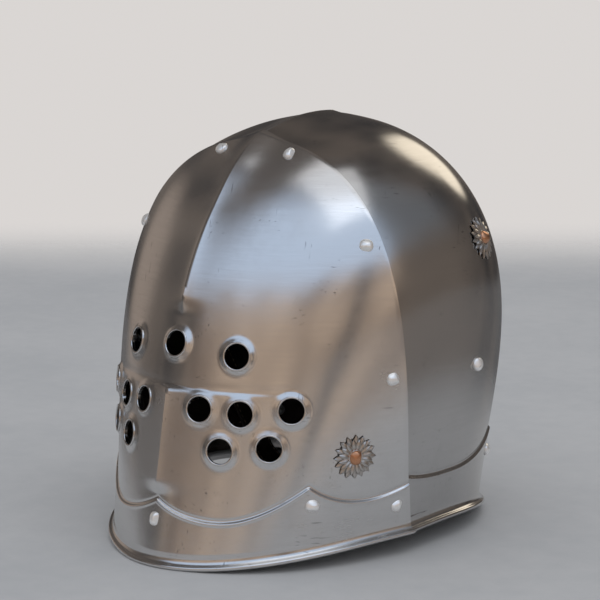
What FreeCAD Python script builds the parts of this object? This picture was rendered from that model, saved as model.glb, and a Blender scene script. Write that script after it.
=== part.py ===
import FreeCAD, Part
import math
import os

V = FreeCAD.Vector
os.makedirs("parts", exist_ok=True)

# Riveted knight helmet with a chin strap.  Units are millimetres and degrees.
# +Z is up, -Y is the face and +X is the wearer's left.

# Overall form of the shell.  Each shape tuple runs from the rim to the crown.
HEIGHT = 264.6
HALF_WIDTH = 103.0
WIDTH_SHAPE = (1.0, 1.028, 1.227, 1.366, 0.947, 0.0)
FRONT_REACH = 164.5
FRONT_SHAPE = (1.0, 0.918, 0.866, 0.803, 0.593)
BACK_REACH = 107.0
BACK_SHAPE = (1.0, 1.093, 1.182, 1.136, 0.682)
LEVEL_SHAPE = (0.0, 0.233, 0.487, 0.731, 1.0, 1.0)
CROWN_Y = 12.2
WIDEST_Y = 4.8
FRONT_FULLNESS = 0.44
CHEEK_FULLNESS = 0.73
BACK_FULLNESS = 0.54
KEEL_ANGLE = 10.7
KEEL_ANGLE_TOP = 7.6
KEEL_LOW = (0.16, 0.195)
KEEL_GAP = (0.40, 0.41, 0.565, 0.61)
KEEL_PINCH = 1.4
KEEL_PINCH_WIDTH = 7.0
KEEL_ROUNDING = 18.0
CREST = 2.5
CREST_WIDTH = 13.0
CREST_Y = (-25.0, 45.0)
SEAM_RIDGE = 3.0
SEAM_RIDGE_REACH = 42.0
RIM_LIFT = 14.0
RIM_FLAT_FRONT = 0.12
RIM_FLAT_BACK = 0.25

# Sheet metal, rim and seam.
SHEET = 1.6
LAP_GAP = 0.15
FLARE_HEIGHT = 8.5
FLARE_REACH = 3.2
BEAD_RADIUS = 1.5
LAP = 18.0
SEAM = ((-37.0, 0.0), (-41.0, 0.1), (-46.0, 0.2), (-52.5, 0.36), (-57.5, 0.5), (-60.0, 0.66), (-59.5, 0.82), (-57.0, 0.95), (-55.0, 1.05))

# Breathing holes.
HOLE_DIAMETER = 15.3
HOLE_LIP = 17.6
HOLE_SKIRT = 23.0
HOLE_RISE = 2.0
MIDDLE_HOLE = (0.0, 0.506)
SIDE_HOLES = ((0.25, 0.488), (0.142, 0.365), (0.293, 0.36), (0.457, 0.371), (0.241, 0.274), (0.407, 0.284))

# Rivets.
SHANK = 3.5
SHANK_FIT = 0.08
HEAD = 8.6
HEAD_RISE = 2.7
TAIL = 5.4
TAIL_RISE = 1.1
BURR = 8.4
BURR_SHEET = 1.0
SEAT = 0.03
BURR_SEAT = 0.25
SEAM_RIVETS = ((-62.9, 0.917), (-67.0, 0.731), (-62.5, 0.433), (-51.0, 0.122))
BORDER_FRONT = ((0.0, 0.106), (0.574, 0.148))
BORDER_BACK = ((1.35, 0.165), (2.0, 0.125))
CHEEK_ROSETTE = (0.676, 0.256)
TEMPLE_ROSETTE = (1.113, 0.721)
ROSETTE = 28.0
ROSETTE_INNER = 21.0
ROSETTE_SHEET = 0.8
ROSETTE_PETALS = 16
DOME = 9.0
DOME_RISE = 3.2

# Lining.
BAND = 2.0
BAND_FRONT_LEVELS = (0.075, 0.145)
BAND_BACK_LEVELS = (0.09, 0.215)
BAND_FRONT_END = 0.72
BAND_BACK_START = 0.9
LINER_OUT = 0.25
LINER = 11.5
POCKET = 12.5

# Chin strap, hung from the ear rivets.
STRAP_Y = 12.7
STRAP_LEVEL = 0.425
STRAP_TILT = 16.0
SWING_BACK = 6.0
SWING_FORWARD = 30.0
STRAP_WIDTH = 18.0
STRAP = 2.5
STRAP_PLAY = 0.9
STRAP_DROP = 110.0
STRAP_BEND = 20.0
WALL_CLEAR = 2.2
LEFT_END = 52.0
RIGHT_END = 16.0
STRAP_HOLE = 3.6
STRAP_HOLE_PITCH = 11.0
STRAP_HOLES = 5

# Buckle.
BAR = 3.0
BAR_FIT = 0.08
BUCKLE_PLAY = 1.5
BUCKLE_REACH = 19.0
PRONG_WIDTH = 3.2
PRONG_SLOT = 5.0
KEEPER_WIDTH = 7.0
KEEPER_SHEET = 1.6

AROUND = 36
UPWARD = 54
BEAD_CURVE = 0.5523


def bezier(points, t):
    row = list(points)
    while len(row) > 1:
        row = [a * (1 - t) + b * t for a, b in zip(row, row[1:])]
    return row[0]


def ramp(x, start, end):
    s = min(max((x - start) / (end - start), 0.0), 1.0)
    return s * s * (3 - 2 * s)


def keel_strength(level):
    low = ramp(level, KEEL_LOW[0], KEEL_LOW[1])
    gap = ramp(level, KEEL_GAP[0], KEEL_GAP[1]) - ramp(level, KEEL_GAP[2], KEEL_GAP[3])
    return low - gap


def rim_lift(u):
    rise = ramp(u, RIM_FLAT_FRONT, 1.0)
    fall = ramp(u, 1.0, 2.0 - RIM_FLAT_BACK)
    return RIM_LIFT * (rise - fall)


def base_height(u, t):
    return bezier(LEVEL_SHAPE, t) * HEIGHT + rim_lift(u) * (1 - t) ** 3


def base(u, t):
    """Point of the plain left half: u is 0 at the face, 1 at the side and 2 at the nape."""
    front = bezier([FRONT_REACH * k for k in FRONT_SHAPE] + [-CROWN_Y], t)
    back = bezier([BACK_REACH * k for k in BACK_SHAPE] + [CROWN_Y], t)
    wide = bezier([HALF_WIDTH * k for k in WIDTH_SHAPE], t)
    middle = WIDEST_Y * (1 - t) + CROWN_Y * t
    if u <= 1:
        keel = math.radians(KEEL_ANGLE * (1 - t) + KEEL_ANGLE_TOP * t)
        arm = FRONT_FULLNESS * wide
        x = bezier((0, arm * math.cos(keel), wide, wide), u)
        cheek = middle - CHEEK_FULLNESS * (front + middle)
        y = bezier((-front, -front + arm * math.sin(keel), cheek, middle), u)
    else:
        x = bezier((wide, wide, BACK_FULLNESS * wide, 0), u - 1)
        nape = middle + BACK_FULLNESS * (back - middle)
        y = bezier((middle, nape, back, back), u - 1)
    return V(x, y, base_height(u, t))


def seam_y(z):
    """The seam line's place in the side view at a height."""
    level = z / HEIGHT
    low = SEAM[0]
    for point in SEAM[1:]:
        if level <= point[1]:
            share = max(0.0, (level - low[1]) / (point[1] - low[1]))
            return low[0] + (point[0] - low[0]) * share
        low = point
    return low[0]


def relief(u, t, p):
    """Keel, crest and seam ridge worked into the plain form."""
    keel = math.radians(KEEL_ANGLE * (1 - t) + KEEL_ANGLE_TOP * t)
    raised = 0.0
    if u < 1:
        strength = keel_strength(p.z / HEIGHT)
        raised += strength * KEEL_PINCH * math.exp(-p.x / KEEL_PINCH_WIDTH)
        short = max(0.0, KEEL_ROUNDING - p.x)
        raised -= (1 - strength) * math.tan(keel) * short ** 2 / (2 * KEEL_ROUNDING)
    behind = p.y - seam_y(p.z)
    raised += SEAM_RIDGE * max(0.0, 1 - abs(behind) / SEAM_RIDGE_REACH) ** 2
    along = ramp(p.z / HEIGHT, 0.8, 0.92) * (1 - ramp(p.y, CREST_Y[0], CREST_Y[1]))
    return raised + CREST * along * math.exp(-((p.x / CREST_WIDTH) ** 2))


def slope(surface_point, u, t):
    """Unit normal of a surface given as a function of u and t."""
    if t > 0.999:
        return V(0, 0, 1)
    e = 1e-4
    du = surface_point(min(u + e, 2), t) - surface_point(max(u - e, 0), t)
    dt = surface_point(u, min(t + e, 1)) - surface_point(u, max(t - e, 0))
    return du.cross(dt).normalize()


def moved(p, n, u, distance):
    """Point moved along a normal, with a mitre where the two halves meet."""
    if u < 1e-6 or u > 2 - 1e-6:
        n = V(0, n.y, n.z) * (1 / (n.y ** 2 + n.z ** 2))
    return p + n * distance


KNOWN = {}


def form(u, t, keeled=True):
    """Point of the skull's outer skin; without the keel it is the plain form."""
    if not keeled:
        return base(u, t)
    if (u, t) not in KNOWN:
        p = base(u, t)
        n = slope(base, u, t)
        way = V(n.x * ramp(p.x, 0, KEEL_ROUNDING), n.y, n.z)
        KNOWN[(u, t)] = p + way * (relief(u, t, p) / way.dot(n))
    return KNOWN[(u, t)]


def normal(u, t, keeled=True):
    return slope(form if keeled else base, u, t)


def skin(u, t, offset, keeled=True):
    """Form point moved along its normal; u below 0 or above 2 is the right half."""
    if u < 0 or u > 2:
        p = skin(-u if u < 0 else 4 - u, t, offset, keeled)
        return V(-p.x, p.y, p.z)
    return moved(form(u, t, keeled), normal(u, t, keeled), u, offset)


def solve(f, low, high, target):
    rising = f(high) > f(low)
    for _ in range(40):
        mid = (low + high) / 2
        if (f(mid) < target) == rising:
            low = mid
        else:
            high = mid
    return (low + high) / 2


T_CREASE = solve(lambda t: bezier(LEVEL_SHAPE, t) * HEIGHT, 0, 0.5, FLARE_HEIGHT)


def t_at(u, level):
    return solve(lambda t: base_height(u, t), 0, 1, level * HEIGHT)


def u_at(y, level):
    return solve(lambda u: base(u, t_at(u, level)).y, 0, 2, y)


def surface(rows):
    """B-spline face whose poles are the given rows of points."""
    nu, nv = len(rows), len(rows[0])
    du, dv = min(3, nu - 1), min(3, nv - 1)
    mu = [du + 1] + [1] * (nu - du - 1) + [du + 1]
    mv = [dv + 1] + [1] * (nv - dv - 1) + [dv + 1]
    ku = [float(i) for i in range(len(mu))]
    kv = [float(i) for i in range(len(mv))]
    s = Part.BSplineSurface()
    s.buildFromPolesMultsKnots(rows, mu, mv, ku, kv, False, False, du, dv)
    return s.toShape()


def closed(faces):
    shell = Part.Shell(faces) if len(faces) < 2 else Part.makeShell(faces)
    shell.sewShape()
    solid = Part.makeSolid(shell)
    if solid.Volume < 0:
        solid.reverse()
    return solid


def steps(start, end, count):
    return [start + (end - start) * i / count for i in range(count + 1)]


def mirrored(rows):
    return [[V(-p.x, p.y, p.z) for p in row] for row in rows]


def outward(u):
    if u < 1e-6:
        return V(0, -1, 0)
    if u > 2 - 1e-6:
        return V(0, 1, 0)
    n = normal(u, T_CREASE)
    return V(n.x, n.y, 0).normalize()


def rim_row(around, reach, height):
    """Row of poles along the rim, at a reach outside the crease and a height above it."""
    row = []
    for u in around:
        p = form(u, T_CREASE)
        out = outward(u) * reach
        row.append(V(p.x + out.x, p.y + out.y, base_height(u, T_CREASE) - FLARE_HEIGHT + height))
    return row


def shell(offset):
    """Closed sheet of the whole helmet with its flared and beaded rim."""
    around = steps(0, 1, AROUND) + steps(1, 2, AROUND)[1:]
    upward = steps(T_CREASE, 1, UPWARD)
    inside = offset - SHEET
    outer = [[skin(u, t, offset) for u in around] for t in upward]
    inner = [[skin(u, t, inside) for u in around] for t in upward]
    outer[0] = rim_row(around, offset, FLARE_HEIGHT)
    inner[0] = rim_row(around, inside, FLARE_HEIGHT)
    reach = offset + FLARE_REACH
    bead, k = BEAD_RADIUS, BEAD_CURVE * BEAD_RADIUS
    flare_out = ((offset, 8.5), (offset + 0.2, 6.6), (offset + 1.2, 4.9), (reach - 1.9, 3.9), (reach, 3.8))
    flare_in = ((reach - 1.9, 1.9), (reach - 3.3, 2.6), (inside + 1.2, 3.6), (inside + 0.1, 5.8), (inside, 8.5))
    flare_out = [(r, z * FLARE_HEIGHT / 8.5) for r, z in flare_out[:-1]] + [(reach, 2 * bead)]
    flare_in = [(reach - bead, bead)] + [(r, z * FLARE_HEIGHT / 8.5) for r, z in flare_in[1:]]
    outer_quarter = ((reach, 2 * bead), (reach + k, 2 * bead), (reach + bead, bead + k), (reach + bead, bead))
    lower_quarter = ((reach + bead, bead), (reach + bead, bead - k), (reach + k, 0), (reach, 0))
    inner_quarter = ((reach, 0), (reach - k, 0), (reach - bead, bead - k), (reach - bead, bead))
    faces = []
    nets = [outer, inner]
    for profile in (flare_out, outer_quarter, lower_quarter, inner_quarter, flare_in):
        nets.append([rim_row(around, r, z) for r, z in profile])
    for net in nets:
        faces.append(surface(net))
        faces.append(surface(mirrored(net)))
    return closed(faces)


def slab(u0, u1, t0, t1, inside, outside, around, upward, keeled=True):
    """Closed curved strip between two offsets of the form."""
    us, ts = steps(u0, u1, around), steps(t0, t1, upward)
    outer = [[skin(u, t, outside, keeled) for u in us] for t in ts]
    inner = [[skin(u, t, inside, keeled) for u in us] for t in ts]
    faces = [surface(outer), surface(inner)]
    for i in (0, -1):
        faces.append(surface([outer[i], inner[i]]))
        faces.append(surface([[row[i] for row in outer], [row[i] for row in inner]]))
    return closed(faces)


def prism(points, smooth):
    """Side-view outline drawn in Y and Z, carried across the full width."""
    line = [V(-200, y, z) for y, z in points[:smooth]]
    curve = Part.BSplineCurve()
    curve.interpolate(line)
    rest = [V(-200, y, z) for y, z in points[smooth:]]
    edges = [curve.toShape()]
    ends = [line[-1]] + rest + [line[0]]
    for a, b in zip(ends, ends[1:]):
        edges.append(Part.LineSegment(a, b).toShape())
    return Part.Face(Part.Wire(edges)).extrude(V(400, 0, 0))


def seam_prism(shift):
    line = [(-30.0 + shift, -0.2 * HEIGHT)] + [(y + shift, z * HEIGHT) for y, z in SEAM] + [(-53.0 + shift, 1.2 * HEIGHT)]
    back = [(-FRONT_REACH - 60, 1.2 * HEIGHT), (-FRONT_REACH - 60, -0.2 * HEIGHT)]
    return prism(line + back, len(line))


def box(x0, x1, y0, y1, z0, z1):
    return Part.makeBox(x1 - x0, y1 - y0, z1 - z0, V(x0, y0, z0))


def flip(shape):
    return shape.mirror(V(0, 0, 0), V(1, 0, 0))


def turned(outline, point, axis):
    """Solid of revolution about an axis through a point; the outline gives radius and rise."""
    pts = [V(r, 0, z) for r, z in outline]
    wire = Part.makePolygon(pts + [pts[0]])
    solid = Part.Face(wire).revolve(V(0, 0, 0), V(0, 0, 1), 360)
    return place(solid, point, axis)


def place(shape, point, axis):
    shape = shape.copy()
    shape.Placement = FreeCAD.Placement(point, FreeCAD.Rotation(V(0, 0, 1), axis))
    return shape


def cap(radius, rise):
    """Spherical cap standing on Z = 0."""
    ball = (radius ** 2 + rise ** 2) / (2 * rise)
    sphere = Part.makeSphere(ball, V(0, 0, rise - ball))
    return sphere.common(Part.makeCylinder(radius + 1, rise + 1))


def rivet(depth, head, head_rise):
    """Rivet with its head seated on Z = 0 and its peened tail below the burr."""
    top = cap(head / 2, head_rise)
    shank = Part.makeCylinder(SHANK / 2, depth + 0.5, V(0, 0, -depth - 0.25))
    tail = cap(TAIL / 2, TAIL_RISE).mirror(V(0, 0, 0), V(0, 0, 1)).translated(V(0, 0, -depth))
    return top.fuse([shank, tail]).removeSplitter()


def ring(outer, inner, thick):
    return Part.makeCylinder(outer / 2, thick).cut(Part.makeCylinder(inner / 2, thick))


class Spot:
    """A fixing place: a point of the form, its outward axis and the layers it passes."""

    def __init__(self, u, level, top, bottom):
        self.u = u
        self.t = t_at(u, level)
        self.point = form(u, self.t)
        self.axis = normal(u, self.t)
        if u < 1e-6 or u > 2 - 1e-6:
            self.axis = V(0, self.axis.y, self.axis.z).normalize()
        self.top = top
        self.bottom = bottom

    def reach(self, radius):
        """Lowest and highest the form gets, along the axis, within a radius."""
        low, high = 0.0, 0.0
        for du in steps(-0.16, 0.16, 16):
            for dt in steps(-0.08, 0.08, 16):
                u, t = abs(self.u + du), min(max(self.t + dt, 0), 1)
                gap = form(u if u < 2 else 4 - u, t) - self.point
                height = gap.dot(self.axis)
                if (gap - self.axis * height).Length < radius:
                    low, high = min(low, height), max(high, height)
        return low, high

    def at(self, offset):
        return self.point + self.axis * offset

    def bore(self, diameter):
        return place(Part.makeCylinder(diameter / 2, 30, V(0, 0, -15)), self.point, self.axis)

    def rivet(self, head, rise, under=0.0):
        seat = self.top + self.reach(head / 2)[1] + SEAT + under
        depth = seat - self.burr_seat() + BURR_SHEET + SEAT
        return place(rivet(depth, head, rise), self.at(seat), self.axis)

    def burr_seat(self):
        return self.bottom + self.reach(BURR / 2)[0] - BURR_SEAT

    def burr(self):
        washer = ring(BURR, SHANK + 2 * SHANK_FIT, BURR_SHEET)
        return place(washer, self.at(self.burr_seat() - BURR_SHEET), self.axis)


def both(shapes):
    return shapes + [flip(s) for s in shapes]


def save(name, shapes):
    shapes = shapes if isinstance(shapes, list) else [shapes]
    solids = [s for shape in shapes for s in shape.Solids]
    body = solids[0] if len(solids) == 1 else Part.makeCompound(solids)
    body = body.translated(SHIFT)
    body.exportStep(os.path.join("parts", name + ".step"))
    print(name, len(solids), "valid" if body.isValid() else "INVALID", round(body.Volume, 1))


OUTER = LAP_GAP + SHEET
BORE = SHANK + 2 * SHANK_FIT


def furthest(u, offset):
    """How far the wall or the rim reaches at the face or at the nape."""
    rim = abs(form(u, T_CREASE).y) + offset + FLARE_REACH + BEAD_RADIUS
    return max([rim] + [abs(skin(u, t, offset).y) for t in steps(T_CREASE, 1, 60)])


SHIFT = V(0, (furthest(0, OUTER) - furthest(2, 0.0)) / 2, 0)

seam_spots = [Spot(u_at(y, z), z, OUTER, -SHEET) for y, z in SEAM_RIVETS]
front_spots = [Spot(u, z, OUTER, -BAND) for u, z in BORDER_FRONT]
back_spots = [Spot(u, z, 0, -SHEET - LAP_GAP - BAND) for u, z in BORDER_BACK]
cheek = Spot(CHEEK_ROSETTE[0], CHEEK_ROSETTE[1], OUTER, LAP_GAP)
temple = Spot(TEMPLE_ROSETTE[0], TEMPLE_ROSETTE[1], 0, -SHEET)


# Plates.
def lip(spot):
    """Raised rim of a punched breathing hole, standing on the sheet."""
    outline = [(0, -1.2), (HOLE_SKIRT / 2, -1.2), (HOLE_SKIRT / 2, -0.6), (HOLE_LIP / 2 + 0.4, HOLE_RISE * 0.7), (HOLE_LIP / 2, HOLE_RISE), (0, HOLE_RISE)]
    return turned(outline, spot.at(OUTER), spot.axis)


hole_spots = [Spot(MIDDLE_HOLE[0], MIDDLE_HOLE[1], OUTER, 0)]
side_holes = [Spot(u, z, OUTER, 0) for u, z in SIDE_HOLES]
lips = [lip(hole_spots[0])] + both([lip(s) for s in side_holes])
bores = [hole_spots[0].bore(HOLE_DIAMETER)] + both([s.bore(HOLE_DIAMETER) for s in side_holes])

seam_bores = both([s.bore(BORE) for s in seam_spots])
front_bores = [front_spots[0].bore(BORE)] + both([front_spots[1].bore(BORE)])
back_bores = both([back_spots[0].bore(BORE)]) + [back_spots[1].bore(BORE)]
cheek_bores = both([cheek.bore(BORE)])
temple_bores = both([temple.bore(BORE)])
ear_bores = both([Part.makeCylinder(BORE / 2, 60, V(90, STRAP_Y, STRAP_LEVEL * HEIGHT), V(1, 0, 0))])

face = shell(OUTER).common(seam_prism(0)).fuse(lips)
face = face.cut(bores + seam_bores + front_bores + cheek_bores)
save("face_plate", face)

skull = shell(0.0)
skull = skull.cut(seam_prism(-LAP))
rim_edge = FLARE_HEIGHT + RIM_LIFT + 1.0
trim = seam_prism(0.3).common(box(-200, 200, -300, 100, -20, rim_edge))
skull = skull.cut([trim] + seam_bores + back_bores + temple_bores + ear_bores)
save("skull_plate", skull)


# Fasteners.  Each one is a domed head, a shank and a peened tail over a burr.
left = [s.rivet(HEAD, HEAD_RISE) for s in seam_spots]
save("seam_rivets_left", left)
save("seam_rivets_right", [flip(s) for s in left])
save("seam_rivet_burrs", both([s.burr() for s in seam_spots]))

sides = (front_spots[1], back_spots[0])
middles = (front_spots[0], back_spots[1])
border = both([s.rivet(HEAD, HEAD_RISE) for s in sides]) + [s.rivet(HEAD, HEAD_RISE) for s in middles]
save("border_rivets", border)
save("border_rivet_burrs", both([s.burr() for s in sides]) + [s.burr() for s in middles])


# Rosettes: two layers of pointed petals under a copper dome.
def petals(tip, root, start):
    points = []
    for i in range(ROSETTE_PETALS):
        a = math.radians(start + 360.0 * i / ROSETTE_PETALS)
        b = a + math.pi / ROSETTE_PETALS
        points.append(V(tip * math.cos(a), tip * math.sin(a), 0))
        points.append(V(root * math.cos(b), root * math.sin(b), 0))
    return Part.Face(Part.makePolygon(points + [points[0]]))


def rosette(spot):
    half = 180.0 / ROSETTE_PETALS
    lower = petals(ROSETTE / 2, ROSETTE / 2 - 4.5, 0).extrude(V(0, 0, ROSETTE_SHEET))
    upper = petals(ROSETTE_INNER / 2, ROSETTE_INNER / 2 - 3.5, half).extrude(V(0, 0, ROSETTE_SHEET))
    flower = lower.fuse(upper.translated(V(0, 0, ROSETTE_SHEET)))
    flower = flower.cut(Part.makeCylinder(BORE / 2, 4 * ROSETTE_SHEET))
    return place(flower, spot.at(spot.top + spot.reach(ROSETTE / 2)[1] + SEAT + 0.05), spot.axis)


for name, spot in (("cheek", cheek), ("temple", temple)):
    flower = rosette(spot)
    save(name + "_rosette_left", flower)
    save(name + "_rosette_right", flip(flower))
domes = []
for spot in (cheek, temple):
    stack = 2 * ROSETTE_SHEET + 0.05 + spot.reach(ROSETTE / 2)[1] - spot.reach(DOME / 2)[1] + SEAT
    domes.append(spot.rivet(DOME, DOME_RISE, stack))
domes = both(domes)
save("rosette_rivets", domes)
save("rosette_rivet_burrs", both([s.burr() for s in (cheek, temple)]))


# Lining: leather bands behind the rim and a padded cap behind the skull.
front_t = [t_at(0, level) for level in BAND_FRONT_LEVELS]
band = slab(-BAND_FRONT_END, BAND_FRONT_END, front_t[0], front_t[1], -BAND, 0.0, 36, 5)
save("lining_band_front", band.cut(front_bores))

back_t = [t_at(2, level) for level in BAND_BACK_LEVELS]
under = -SHEET - LAP_GAP
band = slab(BAND_BACK_START, 4 - BAND_BACK_START, back_t[0], back_t[1], under - BAND, under, 44, 6)
save("lining_band_rear", band.cut(back_bores))


def padded_shell(outside, inside):
    around = steps(0, 2, 44)
    upward = steps(t_at(0, 0.2), 1, 32)
    outer = [[skin(u, t, outside, False) for u in around] for t in upward]
    inner = [[skin(u, t, inside, False) for u in around] for t in upward]
    nets = (outer, inner, [outer[0], inner[0]])
    faces = [surface(net) for net in nets] + [surface(mirrored(net)) for net in nets]
    return closed(faces)


liner = padded_shell(-SHEET - LINER_OUT, -SHEET - LINER_OUT - LINER)
edge = [(-200, 0.61), (-150, 0.62), (-100, 0.61), (-50, 0.57), (0, 0.52), (35, 0.47), (58, 0.38), (72, 0.285), (95, 0.256), (160, 0.25)]
edge = [(y, z * HEIGHT) for y, z in edge]
liner = liner.cut(prism(edge + [(160, -20), (-200, -20)], len(edge)))
pockets = both([place(Part.makeCylinder(POCKET / 2, 14, V(0, 0, -5.5)), s.point, s.axis) for s in seam_spots[:2] + [temple]])
save("padded_liner", liner.cut(pockets))


# Chin strap.  Both halves are drawn hanging straight down in X and Z, then tilted back.
def ribbon(path, radii, half):
    """Closed outline of a strip that follows a path with rounded corners."""
    sides = []
    for side in (1, -1):
        ways = [(b - a).normalize() for a, b in zip(path, path[1:])]
        norms = [V(-w.z, 0, w.x) * (half * side) for w in ways]
        edges, start = [], path[0] + norms[0]
        for i, radius in enumerate(radii):
            w0, w1 = ways[i], ways[i + 1]
            turn = w0.x * w1.z - w0.z * w1.x
            corner = path[i + 1] + (norms[i] + norms[i + 1]) * (1 / (1 + w0.dot(w1)))
            size = radius - half * side * (1 if turn > 0 else -1)
            angle = math.acos(max(-1, min(1, w0.dot(w1))))
            reach = size * math.tan(angle / 2)
            a, b = corner - w0 * reach, corner + w1 * reach
            centre = a + V(-w0.z, 0, w0.x) * (size if turn > 0 else -size)
            mid = centre + (corner - centre).normalize() * size
            edges += [Part.LineSegment(start, a).toShape(), Part.Arc(a, mid, b).toShape()]
            start = b
        end = path[-1] + norms[-1]
        edges.append(Part.LineSegment(start, end).toShape())
        sides.append((path[0] + norms[0], edges, end))
    caps = [Part.LineSegment(sides[0][i], sides[1][i]).toShape() for i in (0, 2)]
    wire = Part.Wire(Part.__sortEdges__(sides[0][1] + sides[1][1] + caps))
    return Part.Face(wire)


def wall_x(y, z, offset):
    """Half width of the wall at a place in the side view."""
    level = z / HEIGHT
    u = solve(lambda u: base(u, t_at(u, level)).y, 0.3, 2, y)
    return skin(u, t_at(u, level), offset, False).x


STRAP_Z = STRAP_LEVEL * HEIGHT


def strap_room(drop):
    """Outermost X that clears the wall at a distance below the pivot over the whole swing."""
    room = []
    for angle in steps(STRAP_TILT - SWING_FORWARD, STRAP_TILT + SWING_BACK, 4):
        a = math.radians(angle)
        for across in (-STRAP_WIDTH / 2, 0, STRAP_WIDTH / 2):
            y = STRAP_Y + drop * math.sin(a) + across * math.cos(a)
            z = STRAP_Z - drop * math.cos(a) + across * math.sin(a)
            lined = z < 1.35 * BAND_BACK_LEVELS[1] * HEIGHT
            layers = SHEET + (LAP_GAP + BAND if lined else 0.0)
            room.append(wall_x(y, max(z, rim_edge), -layers))
    return min(room)


def strap_x(share):
    """Middle of the strap's thickness at a share of its drop."""
    return strap_room(share * STRAP_DROP) - WALL_CLEAR - STRAP / 2


strap_top = strap_room(0) - STRAP_PLAY - STRAP / 2
strap_neck = min(strap_top - 0.5, strap_x(0.22))
strap_mid = min(strap_neck - 2, strap_x(0.45))
strap_low = min(strap_mid - 2, strap_x(0.78))
strap_foot = min(strap_low - 2, strap_x(0.93))
pivot = V(0, STRAP_Y, STRAP_Z)


def hang(shape):
    """Tilt a shape drawn under the pivot back to its resting place."""
    shape = shape.translated(pivot)
    shape.rotate(pivot, V(1, 0, 0), STRAP_TILT)
    return shape


def strap(end):
    """Leather strip from the ear rivet down and inward to a distance from the middle."""
    floor = -STRAP_DROP + STRAP / 2
    path = [V(strap_top, 0, STRAP_WIDTH / 2), V(strap_top, 0, -STRAP_WIDTH * 0.55)]
    path += [V(strap_neck, 0, -0.22 * STRAP_DROP), V(strap_mid, 0, -0.45 * STRAP_DROP)]
    path += [V(strap_low, 0, -0.78 * STRAP_DROP)]
    path += [V(strap_foot, 0, floor), V(end, 0, floor)]
    face = ribbon(path, (24, 60, 60, 60, STRAP_BEND), STRAP / 2)
    strip = face.extrude(V(0, STRAP_WIDTH, 0)).translated(V(0, -STRAP_WIDTH / 2, 0))
    hole = Part.makeCylinder(BORE / 2, 20, V(strap_top - 10, 0, 0), V(1, 0, 0))
    return strip.cut(hole)


def rounded_tab(x0, x1):
    """Keeps a strap's top end round about the pivot."""
    radius = STRAP_WIDTH / 2
    disc = Part.makeCylinder(radius, x1 - x0, V(x0, 0, 0), V(1, 0, 0))
    return disc.fuse(box(x0, x1, -radius, radius, -400, 0))


trim_tab = rounded_tab(0, 200)
floor = -STRAP_DROP + STRAP / 2
bar_x, bar_z = LEFT_END - 4.5, floor

loop_out = BAR / 2 + BAR_FIT + STRAP
loop = Part.makeCylinder(loop_out, STRAP_WIDTH, V(bar_x, -STRAP_WIDTH / 2, bar_z), V(0, 1, 0))
eye = Part.makeCylinder(BAR / 2 + BAR_FIT, STRAP_WIDTH + 2, V(bar_x, -STRAP_WIDTH / 2 - 1, bar_z), V(0, 1, 0))
slot = box(bar_x - 10, bar_x + 6.5, -PRONG_SLOT / 2, PRONG_SLOT / 2, bar_z - 10, bar_z + 10)
fold = box(LEFT_END - 2, LEFT_END + 22, -STRAP_WIDTH / 2, STRAP_WIDTH / 2, floor + STRAP / 2, floor + 1.5 * STRAP)
left_strap = strap(LEFT_END - 4.0).common(trim_tab).fuse([loop, fold]).cut([eye, slot])
rivet_x = LEFT_END + 9.0
loop_bore = Part.makeCylinder(BORE / 2, 20, V(rivet_x, 0, floor - 10))
left_strap = left_strap.cut(loop_bore)
save("chin_strap_left", hang(left_strap))

grip = STRAP + STRAP
loop_rivet = rivet(grip + 2 * SEAT, 7.0, 1.3)
save("strap_loop_rivet", hang(loop_rivet.translated(V(rivet_x, 0, floor + 1.5 * STRAP + SEAT))))

keeper_in = (STRAP_WIDTH / 2 + 0.3, STRAP + 0.3 + STRAP / 2)
keeper_x = LEFT_END + 14.5
outer_ring = box(0, KEEPER_WIDTH, -keeper_in[0] - KEEPER_SHEET, keeper_in[0] + KEEPER_SHEET, -STRAP / 2 - 0.15 - KEEPER_SHEET, 1.5 * STRAP + 0.15 + STRAP + KEEPER_SHEET)
inner_ring = box(-1, KEEPER_WIDTH + 1, -keeper_in[0], keeper_in[0], -STRAP / 2 - 0.15, 1.5 * STRAP + 0.15 + STRAP)
ring_edges = [e for e in outer_ring.Edges if abs(e.BoundBox.XLength - KEEPER_WIDTH) < 1e-6]
keeper = outer_ring.makeFillet(1.5, ring_edges).cut(inner_ring)
save("strap_keeper", hang(keeper.translated(V(keeper_x, 0, floor))))

# Buckle: a round-wire frame and a prong, both turning on the bar in the strap's loop.
wire_r = BAR / 2
half_w = STRAP_WIDTH / 2 + BUCKLE_PLAY + wire_r
corners = [V(bar_x, -half_w, bar_z), V(bar_x, half_w, bar_z), V(bar_x - BUCKLE_REACH, half_w, bar_z), V(bar_x - BUCKLE_REACH, -half_w, bar_z)]
rods = []
for a, b in zip(corners, corners[1:] + corners[:1]):
    rods.append(Part.makeCylinder(wire_r, (b - a).Length, a, b - a))
rods += [Part.makeSphere(wire_r, c) for c in corners]
save("buckle_frame", hang(rods[0].fuse(rods[1:]).removeSplitter()))

prong_eye = Part.makeCylinder(wire_r + BAR_FIT + 1.4, PRONG_WIDTH, V(bar_x, -PRONG_WIDTH / 2, bar_z), V(0, 1, 0))
tongue_z = bar_z + wire_r + 0.25
tongue = box(bar_x - BUCKLE_REACH - 2.0, bar_x, -PRONG_WIDTH / 2, PRONG_WIDTH / 2, tongue_z, tongue_z + 2.0)
tip_edges = [e for e in tongue.Edges if e.BoundBox.XMax < bar_x - BUCKLE_REACH - 1.9]
tongue = tongue.makeFillet(0.9, tip_edges)
prong_bore = Part.makeCylinder(wire_r + BAR_FIT, PRONG_WIDTH + 2, V(bar_x, -PRONG_WIDTH / 2 - 1, bar_z), V(0, 1, 0))
save("buckle_prong", hang(prong_eye.fuse(tongue).cut(prong_bore)))

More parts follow.
